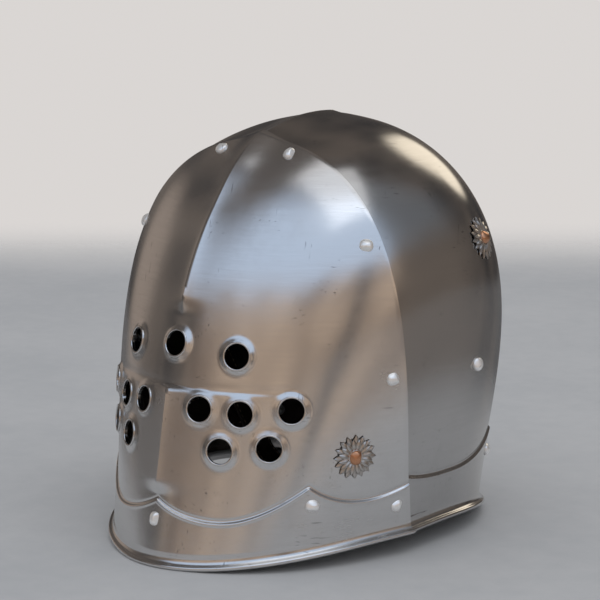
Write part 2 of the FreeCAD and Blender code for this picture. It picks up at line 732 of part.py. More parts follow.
# The right half ends in a pointed, punched tongue.
right_strap = strap(RIGHT_END).common(trim_tab)
half = STRAP_WIDTH / 2
tip = Part.makePolygon([V(RIGHT_END - 1, -half - 1, 0), V(RIGHT_END + 14, -half, 0), V(RIGHT_END, 0, 0), V(RIGHT_END - 1, 0, 0), V(RIGHT_END - 1, -half - 1, 0)])
tip = Part.Face(tip).extrude(V(0, 0, 2 * STRAP)).translated(V(0, 0, floor - STRAP))
cutters = [tip, tip.mirror(V(0, 0, 0), V(0, 1, 0))]
for i in range(STRAP_HOLES):
    x = RIGHT_END + 20.0 + i * STRAP_HOLE_PITCH
    cutters.append(Part.makeCylinder(STRAP_HOLE / 2, 20, V(x, 0, floor - 10)))
save("chin_strap_right", flip(hang(right_strap.cut(cutters))))

# Ear rivets carry the straps; a washer keeps each strap on its shank.
head_x = max(wall_x(STRAP_Y + dy, STRAP_Z + dz, 0.0) for dy in (-4.3, 0, 4.3) for dz in (-4.3, 0, 4.3)) + SEAT
washer_x = strap_top - STRAP / 2 - 0.2 - BURR_SHEET
depth = head_x - washer_x + SEAT
ear = place(rivet(depth, HEAD, HEAD_RISE), V(head_x, STRAP_Y, STRAP_Z), V(1, 0, 0))
save("strap_rivet_left", ear)
save("strap_rivet_right", flip(ear))
washer = place(ring(BURR + 2.0, BORE, BURR_SHEET), V(washer_x, STRAP_Y, STRAP_Z), V(1, 0, 0))
save("strap_washers", both([washer]))

bar = hang(Part.Vertex(V(bar_x, 0, bar_z))).Point + SHIFT
ear_point = V(head_x, STRAP_Y, STRAP_Z) + SHIFT
print("bar", [round(c / 1000, 6) for c in bar], "ear", [round(c / 1000, 6) for c in ear_point])
print("strap x", round(strap_top, 2), round(strap_neck, 2), round(strap_mid, 2), round(strap_low, 2), round(strap_foot, 2))
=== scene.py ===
import math

import bmesh
import bpy
import numpy as np
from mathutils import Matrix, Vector


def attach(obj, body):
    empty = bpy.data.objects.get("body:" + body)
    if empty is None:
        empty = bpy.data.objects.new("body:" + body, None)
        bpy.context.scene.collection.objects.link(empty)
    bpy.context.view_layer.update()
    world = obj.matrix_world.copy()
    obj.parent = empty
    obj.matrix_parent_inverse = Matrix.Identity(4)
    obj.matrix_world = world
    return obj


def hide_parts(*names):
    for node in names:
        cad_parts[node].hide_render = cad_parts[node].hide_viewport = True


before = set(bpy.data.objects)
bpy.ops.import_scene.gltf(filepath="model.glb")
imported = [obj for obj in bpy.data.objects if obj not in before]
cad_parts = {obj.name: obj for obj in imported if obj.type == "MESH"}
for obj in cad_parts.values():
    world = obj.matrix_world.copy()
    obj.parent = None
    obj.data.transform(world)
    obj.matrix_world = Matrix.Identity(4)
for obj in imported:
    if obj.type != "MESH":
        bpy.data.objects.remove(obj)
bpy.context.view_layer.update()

# ---------------------------------------------------------------------------
# Sizes of the helmet, in millimetres.  The shell's form is the smith's own
# pattern: tuples run from the rim to the crown.
# ---------------------------------------------------------------------------
HEIGHT = 264.6
HALF_WIDTH = 103.0
WIDTH_SHAPE = (1.0, 1.028, 1.227, 1.366, 0.947, 0.0)
FRONT_REACH = 164.5
FRONT_SHAPE = (1.0, 0.918, 0.866, 0.803, 0.593)
BACK_REACH = 107.0
BACK_SHAPE = (1.0, 1.093, 1.182, 1.136, 0.682)
LEVEL_SHAPE = (0.0, 0.233, 0.487, 0.731, 1.0, 1.0)
CROWN_Y, WIDEST_Y = 12.2, 4.8
FRONT_FULLNESS, CHEEK_FULLNESS, BACK_FULLNESS = 0.44, 0.73, 0.54
KEEL_ANGLE, KEEL_ANGLE_TOP = 10.7, 7.6
KEEL_LOW, KEEL_GAP = (0.16, 0.195), (0.40, 0.41, 0.565, 0.61)
KEEL_PINCH, KEEL_PINCH_WIDTH, KEEL_ROUNDING = 1.4, 7.0, 18.0
CREST, CREST_WIDTH, CREST_Y = 2.5, 13.0, (-25.0, 45.0)
SEAM_RIDGE, SEAM_RIDGE_REACH = 3.0, 42.0
RIM_LIFT = 14.0
SHEET, LAP_GAP = 1.6, 0.15
FLARE_HEIGHT, FLARE_REACH, BEAD = 8.5, 3.2, 1.5
LAP = 18.0
SEAM = ((-37.0, 0.0), (-41.0, 0.1), (-46.0, 0.2), (-52.5, 0.36), (-57.5, 0.5), (-60.0, 0.66),
        (-59.5, 0.82), (-57.0, 0.95), (-55.0, 1.05))
OUTER = LAP_GAP + SHEET
SHIFT_Y = 25.053

HOLE_R = 7.65
MIDDLE_HOLE = (0.0, 0.506)
SIDE_HOLES = ((0.25, 0.488), (0.142, 0.365), (0.293, 0.36), (0.457, 0.371), (0.241, 0.274),
              (0.407, 0.284))
SEAM_RIVETS = ((-62.9, 0.917), (-67.0, 0.731), (-62.5, 0.433), (-51.0, 0.122))
BORDER_FRONT = ((0.0, 0.106), (0.574, 0.148))
BORDER_BACK = ((1.35, 0.165), (2.0, 0.125))
CHEEK_ROSETTE, TEMPLE_ROSETTE = (0.676, 0.256), (1.113, 0.721)

# Scalloped border: round-the-shell place and height of each cusp and low point.
SCALLOPS_FRONT = ((0.0, 40.0), (0.27, 29.5), (0.554, 51.0), (0.73, 39.0), (0.9, 52.0))
SCALLOPS_BACK = ((0.7, 66.0), (0.96, 45.0), (1.35, 60.0), (1.68, 40.0), (2.0, 50.0))
FRONT_EDGE_Z, BACK_EDGE_Z = 42.0, 50.0
BORDER_PROUD, BORDER_LIP, BORDER_GROOVE = 0.95, 0.3, 0.3
STEP_RISE, STEP_GROOVE = 0.55, 0.12

# The sheet is raised into a low cone round each hole, with a flat crown and a rolled lip.
CONE_R, CONE_RUN, CONE_RISE, CROWN_R = 12.2, 3.4, 1.45, 8.9
LIP_R, LIP_Z, LIP_WIDE, LIP_HIGH = 8.3, 1.42, 0.68, 0.62

# Rows and columns of the plates' grids.
FRONT_ROWS, FRONT_COLS, BACK_ROWS, BACK_COLS = 205, 249, 235, 141

HEAD_R, HEAD_RISE = 4.3, 2.7
TAIL_R, TAIL_RISE, SHANK_R = 2.7, 1.0, 1.7

MIRROR = np.array([-1.0, 1.0, 1.0])
IN_MIDDLE = np.array([0.0, 1.0, 1.0])
LEVEL = np.array([1.0, 1.0, 0.0])


# ---------------------------------------------------------------------------
# The form of the shell
# ---------------------------------------------------------------------------
def bezier(points, t):
    row = list(points)
    while len(row) > 1:
        row = [a * (1 - t) + b * t for a, b in zip(row, row[1:])]
    return row[0]


def ramp(x, start, end):
    s = np.clip((x - start) / (end - start), 0.0, 1.0)
    return s * s * (3 - 2 * s)


def keel_strength(level):
    return ramp(level, *KEEL_LOW) - ramp(level, *KEEL_GAP[:2]) + ramp(level, *KEEL_GAP[2:])


def rim_lift(u):
    return RIM_LIFT * (ramp(u, 0.12, 1.0) - ramp(u, 1.0, 1.75))


def base(u, t):
    """Plain left half, u from 0 at the face to 2 at the nape, t from rim to crown."""
    u, t = np.broadcast_arrays(np.asarray(u, float), np.asarray(t, float))
    front = bezier([FRONT_REACH * k for k in FRONT_SHAPE] + [-CROWN_Y], t)
    back = bezier([BACK_REACH * k for k in BACK_SHAPE] + [CROWN_Y], t)
    wide = bezier([HALF_WIDTH * k for k in WIDTH_SHAPE], t)
    middle = WIDEST_Y * (1 - t) + CROWN_Y * t
    keel = np.radians(KEEL_ANGLE * (1 - t) + KEEL_ANGLE_TOP * t)
    ahead, behind = np.clip(u, 0, 1), np.clip(u - 1, 0, 1)
    arm = FRONT_FULLNESS * wide
    cheek = middle - CHEEK_FULLNESS * (front + middle)
    nape = middle + BACK_FULLNESS * (back - middle)
    x_front = bezier((0 * t, arm * np.cos(keel), wide, wide), ahead)
    y_front = bezier((-front, -front + arm * np.sin(keel), cheek, middle), ahead)
    x_back = bezier((wide, wide, BACK_FULLNESS * wide, 0 * t), behind)
    y_back = bezier((middle, nape, back, back), behind)
    x, y = np.where(u <= 1, x_front, x_back), np.where(u <= 1, y_front, y_back)
    z = bezier(LEVEL_SHAPE, t) * HEIGHT + rim_lift(u) * (1 - t) ** 3
    return np.stack([x, y + SHIFT_Y, z], -1)


def relief(u, t, p):
    """Keel, crest and seam ridge worked into the plain form."""
    x, y, level = p[..., 0], p[..., 1] - SHIFT_Y, p[..., 2] / HEIGHT
    keel = np.radians(KEEL_ANGLE * (1 - t) + KEEL_ANGLE_TOP * t)
    strength = keel_strength(level)
    pinch = strength * KEEL_PINCH * np.exp(-x / KEEL_PINCH_WIDTH)
    rounding = (1 - strength) * np.tan(keel) * np.clip(KEEL_ROUNDING - x, 0, None) ** 2 / (2 * KEEL_ROUNDING)
    behind = y - np.interp(level, [z for _, z in SEAM], [y for y, _ in SEAM])
    ridge = SEAM_RIDGE * np.clip(1 - np.abs(behind) / SEAM_RIDGE_REACH, 0, None) ** 2
    along = ramp(level, 0.8, 0.92) * (1 - ramp(y, *CREST_Y))
    return np.where(u < 1, pinch - rounding, 0) + ridge + CREST * along * np.exp(-(x / CREST_WIDTH) ** 2)


def form(u, t, keeled=True):
    """Points of the shell's outer skin; without the keel it is the plain form."""
    u, t = np.broadcast_arrays(np.asarray(u, float), np.asarray(t, float))
    p = base(u, t)
    if not keeled:
        return p
    n = normals(u, t, False)
    way = n * np.stack([ramp(p[..., 0], 0, KEEL_ROUNDING), np.ones_like(u), np.ones_like(u)], -1)
    return p + way * (relief(u, t, p) / (way * n).sum(-1))[..., None]


def unit(v):
    return v / np.maximum(np.linalg.norm(v, axis=-1, keepdims=True), 1e-9)


def handed(side):
    """Factors that take left-hand points to a side, 1 or -1, for one value or an array."""
    side = np.asarray(side, float)
    return np.stack([side, np.ones_like(side), np.ones_like(side)], -1)


def on_middle(u):
    return (u < 1e-6) | (u > 2 - 1e-6)


def run_along(points):
    """Distance along a line of points, from its start to each of them."""
    return np.concatenate([[0], np.cumsum(np.linalg.norm(np.diff(points, axis=0), axis=1))])


def normals(u, t, keeled=True):
    u, t = np.broadcast_arrays(np.asarray(u, float), np.asarray(t, float))
    e = 1e-4
    low, high = np.clip(u - e, 0, 2), np.clip(u + e, 0, 2)
    du = form(high, t, keeled) - form(low, t, keeled)
    dt = form(u, np.clip(t + e, 0, 1), keeled) - form(u, np.clip(t - e, 0, 1), keeled)
    n = np.cross(du, dt)
    n = np.where((t > 0.9995)[..., None], np.array([0.0, 0.0, 1.0]), n)
    return unit(n)


def skin(u, t, offset, keeled=True):
    """Form points moved along their normals, with a mitre on the middle line."""
    n = normals(u, t, keeled)
    u = np.broadcast_to(np.asarray(u, float), n.shape[:-1])
    flat = n * IN_MIDDLE
    mitred = flat / np.maximum((flat ** 2).sum(-1, keepdims=True), 1e-6)
    way = np.where(on_middle(u)[..., None], mitred, n)
    return form(u, t, keeled) + way * np.asarray(offset)[..., None]


def solve(f, low, high, shape=()):
    """Halving search for f = 0, for arrays as for single values."""
    low, high = np.full(shape, float(low)), np.full(shape, float(high))
    rising = f(high) > f(low)
    for _ in range(45):
        mid = (low + high) / 2
        up = (f(mid) < 0) == rising
        low, high = np.where(up, mid, low), np.where(up, high, mid)
    return (low + high) / 2


seam_fit = np.polyfit([z * HEIGHT for _, z in SEAM], [y for y, _ in SEAM], 5)


def seam_y(z):
    return np.polyval(seam_fit, np.minimum(z, 1.06 * HEIGHT)) + SHIFT_Y


T_CREASE = float(solve(lambda t: bezier(LEVEL_SHAPE, t) * HEIGHT - FLARE_HEIGHT, 0, 0.5))


def t_at(u, level):
    return float(solve(lambda t: base(u, t)[..., 2] - level * HEIGHT, 0, 1))


def u_at(y, level):
    low, high = 0.0, 2.0
    for _ in range(40):
        mid = (low + high) / 2
        if base(mid, t_at(mid, level))[1] - SHIFT_Y < y:
            low = mid
        else:
            high = mid
    return (low + high) / 2


class Spot:
    """A place on the shell with its outward axis and how the form curves about it."""

    def __init__(self, u, level):
        self.u, self.t = u, t_at(u, level)
        self.point = form(u, self.t)
        self.axis = normals(u, self.t)
        if on_middle(u):
            self.axis = unit(self.axis * IN_MIDDLE)
        self.across = unit(np.cross([0.0, 0.0, 1.0], self.axis))
        self.up = np.cross(self.axis, self.across)
        near_u = np.clip(u + np.linspace(-0.08, 0.08, 9)[:, None], 0, 2)
        near = form(near_u, self.t + np.linspace(-0.03, 0.03, 9)[None])
        near = (near - self.point).reshape(-1, 3)
        if on_middle(u):
            near = np.concatenate([near, near * MIRROR])
        a, b, h = near @ self.across, near @ self.up, near @ self.axis
        self.curve = np.linalg.lstsq(np.stack([a * a, a * b, b * b], 1), h, rcond=None)[0]

    def reach(self, radius):
        """Highest the form gets, along the axis, within a radius."""
        u = np.abs(self.u + np.linspace(-0.16, 0.16, 17)[:, None])
        t = np.clip(self.t + np.linspace(-0.08, 0.08, 17), 0, 1)
        gap = form(np.where(u < 2, u, 4 - u), t[None]) - self.point
        rise = gap @ self.axis
        return max(0.0, rise[np.linalg.norm(gap - rise[..., None] * self.axis, axis=-1) < radius].max())

    def sag(self, a, b):
        return self.curve[0] * a * a + self.curve[1] * a * b + self.curve[2] * b * b

    def place(self, points, offset, follow=1.0):
        """Local points (across, up, out) laid on the shell at an offset."""
        a, b, c = points[..., 0], points[..., 1], points[..., 2]
        h = c + offset + follow * self.sag(a, b)
        return self.point + a[..., None] * self.across + b[..., None] * self.up + h[..., None] * self.axis


# ---------------------------------------------------------------------------
# Mesh tools
# ---------------------------------------------------------------------------
def make(name, points, faces, material, body="helmet", stands_for=(), slot=None, crease=40):
    mesh = bpy.data.meshes.new(name)
    mesh.from_pydata((np.asarray(points) * 0.001).tolist(), [], faces)
    mesh.validate()
    mesh.materials.append(material)
    obj = bpy.data.objects.new(name, mesh)
    bpy.context.scene.collection.objects.link(obj)
    for p in mesh.polygons:
        p.use_smooth = True
    mesh.set_sharp_from_angle(angle=math.radians(crease))
    if body:
        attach(obj, body)
    if stands_for:
        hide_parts(*stands_for)
    return obj


def grid_faces(rows, cols, first=0, wrap=False, turn=False):
    faces = []
    for i in range(rows - 1):
        for j in range(cols if wrap else cols - 1):
            k = (j + 1) % cols
            low, high = first + i * cols, first + (i + 1) * cols
            quad = (low + j, low + k, high + k, high + j)
            faces.append(quad[::-1] if turn else quad)
    return faces


def ring_close(rows, cols):
    """Faces that join the last row of a wrapped grid back to its first."""
    last = (rows - 1) * cols
    return [(last + j, last + (j + 1) % cols, (j + 1) % cols, j) for j in range(cols)]


def end_caps(rows, cols):
    """Faces that close the first and last rings of a wrapped grid."""
    return [tuple(range(cols))[::-1], tuple((rows - 1) * cols + i for i in range(cols))]


def layer_faces(rows, cols):
    """Faces of a closed piece between two matching grids, the second one beneath the first."""
    under = rows * cols
    faces = grid_faces(rows, cols) + grid_faces(rows, cols, under, turn=True)
    loop = list(range(cols)) + [i * cols + cols - 1 for i in range(1, rows)]
    loop += [(rows - 1) * cols + j for j in range(cols - 2, -1, -1)]
    loop += [i * cols for i in range(rows - 2, 0, -1)]
    for p, q in zip(loop, loop[1:] + loop[:1]):
        faces.append((q, p, p + under, q + under))
    return faces


def turned_over(faces, side):
    """Faces as they are on the left, and turned over on the right."""
    return [f if side > 0 else f[::-1] for f in faces]


class Parts:
    """Gathers points and faces of several small solids into one mesh."""

    def __init__(self):
        self.points, self.faces, self.count = [], [], 0

    def add(self, points, faces):
        points = np.asarray(points).reshape(-1, 3)
        self.points.append(points)
        self.faces += [tuple(i + self.count for i in f) for f in faces]
        self.count += len(points)

    def all(self):
        return np.concatenate(self.points), self.faces


def turned(profile, sides):
    """Surface of revolution of (radius, rise) pairs about the third axis, closed on the axis."""
    angle = np.arange(sides) * 2 * math.pi / sides
    rows = [np.stack([r * np.cos(angle), r * np.sin(angle), np.full(sides, z)], -1) for r, z in profile]
    faces = grid_faces(len(rows), sides, wrap=True) + end_caps(len(rows), sides)
    return np.concatenate(rows), faces


# ---------------------------------------------------------------------------
# Material tools
# ---------------------------------------------------------------------------
class Tree:
    """Short hand for building a node tree."""

    def __init__(self, tree):
        self.tree, self.nodes, self.links = tree, tree.nodes, tree.links

    def add(self, kind, settings=None, **inputs):
        node = self.nodes.new("ShaderNode" + kind)
        for key, value in (settings or {}).items():
            setattr(node, key, value)
        for key, value in inputs.items():
            self.feed(node, key.replace("_", " "), value)
        return node

    def feed(self, node, key, value):
        socket = node.inputs[int(key[1:])] if key[0] == "i" and key[1:].isdigit() else node.inputs[key]
        if isinstance(value, bpy.types.NodeSocket):
            self.links.new(value, socket)
        else:
            socket.default_value = value

    def math(self, operation, a, b=0.0, c=0.0, clamp=False):
        node = self.add("Math", {"operation": operation, "use_clamp": clamp})
        for i, value in enumerate((a, b, c)):
            self.feed(node, f"i{i}", value)
        return node.outputs[0]

    def span(self, value, low, high, to_low=0.0, to_high=1.0):
        node = self.add("MapRange", {"interpolation_type": "SMOOTHSTEP"}, Value=value)
        for key, number in (("From Min", low), ("From Max", high), ("To Min", to_low), ("To Max", to_high)):
            node.inputs[key].default_value = number
        return node.outputs[0]

    def blend(self, factor, a, b, kind="MIX"):
        node = self.add("Mix", {"data_type": "RGBA", "blend_type": kind})
        for i, value in ((0, factor), (6, a), (7, b)):
            self.feed(node, f"i{i}", value)
        return node.outputs[2]

    def noise(self, vector, scale, detail=2.0, rough=0.5, stretch=None):
        if stretch:
            vector = self.add("Mapping", None, Vector=vector, Scale=stretch).outputs[0]
        node = self.add("TexNoise", None, Vector=vector, Scale=scale, Detail=detail, Roughness=rough)
        return node.outputs[0]


def group(name, inputs, outputs, build):
    """Shader node group with named sockets, each input a (name, kind, start value)."""
    tree = bpy.data.node_groups.new(name, "ShaderNodeTree")
    for key, kind, value in inputs:
        socket = tree.interface.new_socket(key, in_out="INPUT", socket_type="NodeSocket" + kind)
        socket.default_value = value
    for key, kind in outputs:
        tree.interface.new_socket(key, in_out="OUTPUT", socket_type="NodeSocket" + kind)
    t = Tree(tree)
    start, end = tree.nodes.new("NodeGroupInput"), tree.nodes.new("NodeGroupOutput")
    for key, value in build(t, start.outputs).items():
        t.links.new(value, end.inputs[key])
    return tree


def brushed(t, i):
    """Fine lines that run round the shell, with long faint streaks."""
    at = t.add("TexCoord").outputs["Object"]
    fine = t.noise(at, 1.0, 3.0, 0.6, (60, 60, 2600))
    broad = t.noise(at, 1.0, 2.0, 0.5, (14, 14, 420))
    lines = t.math("ADD", t.math("MULTIPLY", fine, 0.65), t.math("MULTIPLY", broad, 0.35))
    return {"Lines": t.math("MULTIPLY", lines, i["Amount"]), "Value": lines}


def hammered(t, i):
    """Shallow unevenness left by the planishing hammer."""
    at = t.add("TexCoord").outputs["Object"]
    soft = t.noise(at, i["Scale"], 2.0, 0.45)
    wide = t.noise(at, t.math("MULTIPLY", i["Scale"], 0.4), 1.0, 0.4)
    height = t.math("ADD", t.math("MULTIPLY", soft, 0.5), wide)
    return {"Height": t.math("MULTIPLY", height, i["Amount"])}


def scuffed(t, i):
    """Short thin scratches in two directions and a sparse grime mask."""
    at = t.add("TexCoord").outputs["Object"]
    cut = []
    for turn, stretch in ((0.5, (900, 900, 55)), (1.9, (70, 800, 700))):
        spun = t.add("Mapping", None, Vector=at, Rotation=(turn, turn * 0.6, 0.2)).outputs[0]
        streak = t.noise(spun, 1.0, 1.0, 0.4, stretch)
        patch = t.span(t.noise(at, 38.0 + 9 * turn, 2.0, 0.5), 0.56, 0.66)
        cut.append(t.math("MULTIPLY", t.span(streak, 0.68, 0.74), patch))
    marks = t.math("MULTIPLY", t.math("ADD", cut[0], cut[1], clamp=True), i["Amount"])
    grime = t.span(t.noise(at, 16.0, 5.0, 0.62), 0.5, 0.75)
    return {"Scratches": marks, "Grime": grime}


def worn_edges_and_hollow_shade(t, i):
    """Bright where an edge stands out, from wear; dark where a corner is hollow, as painted shade."""
    point = t.add("NewGeometry").outputs["Pointiness"]
    return {"Edge": t.span(point, 0.52, 0.6), "Painted Hollow Shade": t.span(point, 0.48, 0.42)}


def pored(t, i):
    """Leather grain: small rounded cells broken by creases."""
    at = t.add("TexCoord").outputs["Object"]
    cells = t.add("TexVoronoi", {"feature": "DISTANCE_TO_EDGE"}, Vector=at, Scale=i["Scale"]).outputs[0]
    creases = t.noise(at, t.math("MULTIPLY", i["Scale"], 0.12), 4.0, 0.6)
    raised = t.math("MULTIPLY", t.span(cells, 0.0, 0.25), 0.6)
    height = t.math("ADD", raised, t.math("MULTIPLY", creases, 0.5))
    return {"Height": height, "Tone": creases}


def woven(t, i):
    """Plain weave of warp and weft threads."""
    at = t.add("TexCoord").outputs["Object"]
    waves = []
    for axis, phase in (("X", 0.0), ("Z", 1.6)):
        bands = {"wave_type": "BANDS", "bands_direction": axis}
        wave = t.add("TexWave", bands, Vector=at, Scale=i["Scale"], Distortion=0.6)
        wave.inputs["Phase Offset"].default_value = phase
        waves.append(wave.outputs[1])
    height = t.math("MULTIPLY", waves[0], waves[1])
    return {"Height": height, "Tone": t.noise(at, 24.0, 3.0, 0.6)}


GROUPS = {}
for title, build, inputs, outputs in (
    ("brushed lines", brushed, [("Amount", "Float", 1.0)], [("Lines", "Float"), ("Value", "Float")]),
    ("hammered face", hammered, [("Scale", "Float", 60.0), ("Amount", "Float", 1.0)], [("Height", "Float")]),
    ("scuffs", scuffed, [("Amount", "Float", 1.0)], [("Scratches", "Float"), ("Grime", "Float")]),
    ("worn edges and painted hollow shade", worn_edges_and_hollow_shade, [], [("Edge", "Float"), ("Painted Hollow Shade", "Float")]),
    ("leather grain", pored, [("Scale", "Float", 900.0)], [("Height", "Float"), ("Tone", "Float")]),
    ("linen weave", woven, [("Scale", "Float", 300.0)], [("Height", "Float"), ("Tone", "Float")]),
):
    GROUPS[title] = group(title, inputs, outputs, build)


def use(t, title, **values):
    node = t.nodes.new("ShaderNodeGroup")
    node.node_tree = GROUPS[title]
    for key, value in values.items():
        t.feed(node, key, value)
    return node.outputs


def material(name):
    mat = bpy.data.materials.new(name)
    mat.use_nodes = True
    t = Tree(mat.node_tree)
    return mat, t, mat.node_tree.nodes["Principled BSDF"]


def tint(colour, *factors):
    return (*(c * k for c, k in zip(colour, factors)), 1)


def rough_up(t, shader, height, strength, distance):
    relief = t.add("Bump", None, Height=height, Strength=strength, Distance=distance)
    t.feed(shader, "Normal", relief.outputs[0])


def steel(name, bright, dark, rough, hammer=(55.0, 0.8), lines=1.0, scratches=0.7, bump=0.12, metal=1.0):
    """Bare steel: brushed, planished, scuffed, and darkened in its hollows with painted shade."""
    mat, t, shader = material(name)
    brush = use(t, "brushed lines", Amount=lines)
    beat = use(t, "hammered face", Scale=hammer[0], Amount=hammer[1])
    scuff = use(t, "scuffs", Amount=scratches)
    edge_wear_and_hollow_shade = use(t, "worn edges and painted hollow shade")
    tone = t.blend(t.math("MULTIPLY", brush["Value"], 0.35), (*bright, 1), (*dark, 1))
    tone = t.blend(t.math("MULTIPLY", scuff["Grime"], 0.22), tone, (*dark, 1))
    # Painted shade: the colour is darkened where a corner is hollow.
    tone = t.blend(t.math("MULTIPLY", edge_wear_and_hollow_shade["Painted Hollow Shade"], 0.5), tone, tint(dark, 0.35, 0.33, 0.32))
    tone = t.blend(t.math("MULTIPLY", scuff["Scratches"], 0.75), tone, tint(dark, 0.3, 0.3, 0.32))
    t.feed(shader, "Base Color", tone)
    shader.inputs["Metallic"].default_value = metal
    gloss = t.math("MULTIPLY_ADD", brush["Value"], 0.16, rough - 0.08)
    gloss = t.math("ADD", gloss, t.math("MULTIPLY", scuff["Grime"], 0.08))
    t.feed(shader, "Roughness", t.math("SUBTRACT", gloss, t.math("MULTIPLY", edge_wear_and_hollow_shade["Edge"], 0.08)))
    height = t.math("ADD", t.math("MULTIPLY", brush["Lines"], 0.012), t.math("MULTIPLY", beat["Height"], 1.0))
    height = t.math("SUBTRACT", height, t.math("MULTIPLY", scuff["Scratches"], 0.02))
    rough_up(t, shader, height, bump, 0.002)
    return mat


def leather(name, base, deep):
    mat, t, shader = material(name)
    grain = use(t, "leather grain", Scale=1100.0)
    edge_wear_and_hollow_shade = use(t, "worn edges and painted hollow shade")
    tone = t.blend(grain["Tone"], (*deep, 1), (*base, 1))
    tone = t.blend(t.math("MULTIPLY", edge_wear_and_hollow_shade["Edge"], 0.35), tone, tint(base, 2.2, 2.0, 1.9))
    t.feed(shader, "Base Color", tone)
    t.feed(shader, "Roughness", t.math("MULTIPLY_ADD", grain["Tone"], 0.25, 0.38))
    rough_up(t, shader, grain["Height"], 0.35, 0.0004)
    return mat


def linen(name, base, deep):
    mat, t, shader = material(name)
    weave = use(t, "linen weave", Scale=320.0)
    tone = t.blend(weave["Tone"], (*deep, 1), (*base, 1))
    # Painted highlight: the raised threads of the weave are lighter.
    tone = t.blend(t.math("MULTIPLY", weave["Height"], 0.4), tone, tint(base, 1.5, 1.45, 1.4))
    t.feed(shader, "Base Color", tone)
    shader.inputs["Roughness"].default_value = 0.95
    shader.inputs["Sheen Weight"].default_value = 0.2
    rough_up(t, shader, weave["Height"], 0.5, 0.0005)
    return mat


PLATE = steel("brushed helmet steel", (0.72, 0.71, 0.7), (0.46, 0.45, 0.44), 0.2)
# Painted shade: the skull plate gets a darker copy of the plate steel.
SHADED_SKULL_STEEL = steel("skull steel with painted shade", (0.56, 0.55, 0.54), (0.36, 0.35, 0.34), 0.17, (40.0, 0.9), 0.6)
RIVET = steel("polished rivet steel", (0.98, 0.97, 0.95), (0.8, 0.79, 0.78), 0.34, (420.0, 0.25),
              0.2, 0.8, metal=0.7)
BURR_STEEL = steel("plain burr steel", (0.5, 0.5, 0.5), (0.3, 0.29, 0.28), 0.42, (300.0, 0.3), 0.3, 0.3)
BUCKLE = steel("buckle steel", (0.56, 0.55, 0.53), (0.36, 0.35, 0.34), 0.33, (300.0, 0.4), 0.3, 0.8)
ANTIQUE = steel("antique dark steel", (0.62, 0.58, 0.54), (0.2, 0.19, 0.18), 0.3, (380.0, 0.5), 0.3, 0.8)
COPPER = steel("burnished copper", (0.66, 0.34, 0.2), (0.42, 0.19, 0.1), 0.3, (300.0, 0.25), 0.2, 0.6)
HIDE = leather("dark strap leather", (0.055, 0.032, 0.022), (0.02, 0.012, 0.009))
# Painted shade: near-black leather for the discs that stand in for the strap's open holes.
HOLE_SHADE_HIDE = leather("painted hole shade leather", (0.02, 0.012, 0.009), (0.008, 0.005, 0.004))
THREAD = linen("waxed thread", (0.32, 0.26, 0.18), (0.2, 0.16, 0.11))
PADDING = linen("dark quilted linen", (0.05, 0.047, 0.043), (0.028, 0.026, 0.025))


# ---------------------------------------------------------------------------
# Plates
# ---------------------------------------------------------------------------
holes = [Spot(*MIDDLE_HOLE)] + [Spot(u, level) for u, level in SIDE_HOLES]
hole_places = [(spot, side) for spot in holes for side in (1, -1) if side > 0 or spot.u > 1e-6]


def scallop_height(u, table):
    """Height of the border's scalloped edge: hanging arcs between upstanding cusps."""
    z = np.full(np.shape(u), table[-1][1])
    for (u0, z0), (low, zl), (u1, z1) in zip(table[::2], table[1::2], table[2::2]):
        left = zl + (z0 - zl) * ((low - u) / (low - u0)) ** 2
        right = zl + (z1 - zl) * ((u - low) / (u1 - low)) ** 2
        z = np.where((u >= u0) & (u <= low), left, z)
        z = np.where((u > low) & (u <= u1), right, z)
    return z


def border(u, z, table):
    """The lower border stands proud, with a hollow just above its scalloped edge."""
    rise = z - scallop_height(u, table)
    proud = BORDER_PROUD * (1 - ramp(rise, -1.0, 0.5))
    lip = BORDER_LIP * np.exp(-((rise + 1.5) / 0.9) ** 2)
    groove = BORDER_GROOVE * np.exp(-((rise - 1.2) / 0.9) ** 2)
    return proud + lip - groove


def face_relief(u, z):
    """Worked relief of the face plate, in millimetres above the plain form."""
    fade = 1 - ramp(u, 0.3, 0.52)
    step = STEP_RISE * (1 - ramp(z, 105.5, 108.0)) * ramp(z, 62.0, 100.0) * fade
    groove = STEP_GROOVE * np.exp(-((z - 109.5) / 2.2) ** 2) * fade
    return border(u, z, SCALLOPS_FRONT) + step - groove


EVERY_T = np.linspace(0, 1, 2001)
EVERY_Z = bezier(LEVEL_SHAPE, EVERY_T) * HEIGHT


def follow(u, t, table, middle):
    """Slide the grid's rows near the border so that they run along its scalloped edge."""
    z, lift = np.interp(t, EVERY_T, EVERY_Z), rim_lift(u)
    weight = ramp(z, FLARE_HEIGHT, middle - 6) * (1 - ramp(z, middle + 5, middle + 62))
    shift = scallop_height(u, table) - middle - lift * (1 - np.interp(middle, EVERY_Z, EVERY_T)) ** 3
    target = z + lift * (1 - t) ** 3 + shift * weight
    new = np.zeros(np.shape(u)) + t
    for _ in range(8):
        new = np.interp(target - lift * (1 - new) ** 3, EVERY_Z, EVERY_T)
    return new


def row_steps(count, last, u, middle):
    """Row levels, with closer rows along the border's edge."""
    fine = [np.arange(-5, -3, 0.6), np.arange(-3, 2.6, 0.32), np.arange(2.6, 6, 0.6)]
    fine = middle + np.concatenate(fine)
    fine_t = np.interp(fine, EVERY_Z, EVERY_T)
    wide = even_steps(count, last, u)
    wide = wide[(wide < fine_t[0] - 0.002) | (wide > fine_t[-1] + 0.002)]
    return np.sort(np.concatenate([wide, fine_t]))


def uneven(p, size, seed):
    """Gentle waviness left by raising the sheet over a stake."""
    rng = np.random.default_rng(seed)
    total = 0
    for _ in range(7):
        way, phase = unit(rng.normal(size=3)), rng.uniform(0, 6.28)
        total = total + np.sin((p @ way) * 6.28 / (size * rng.uniform(0.7, 1.6)) + phase)
    return total / 7


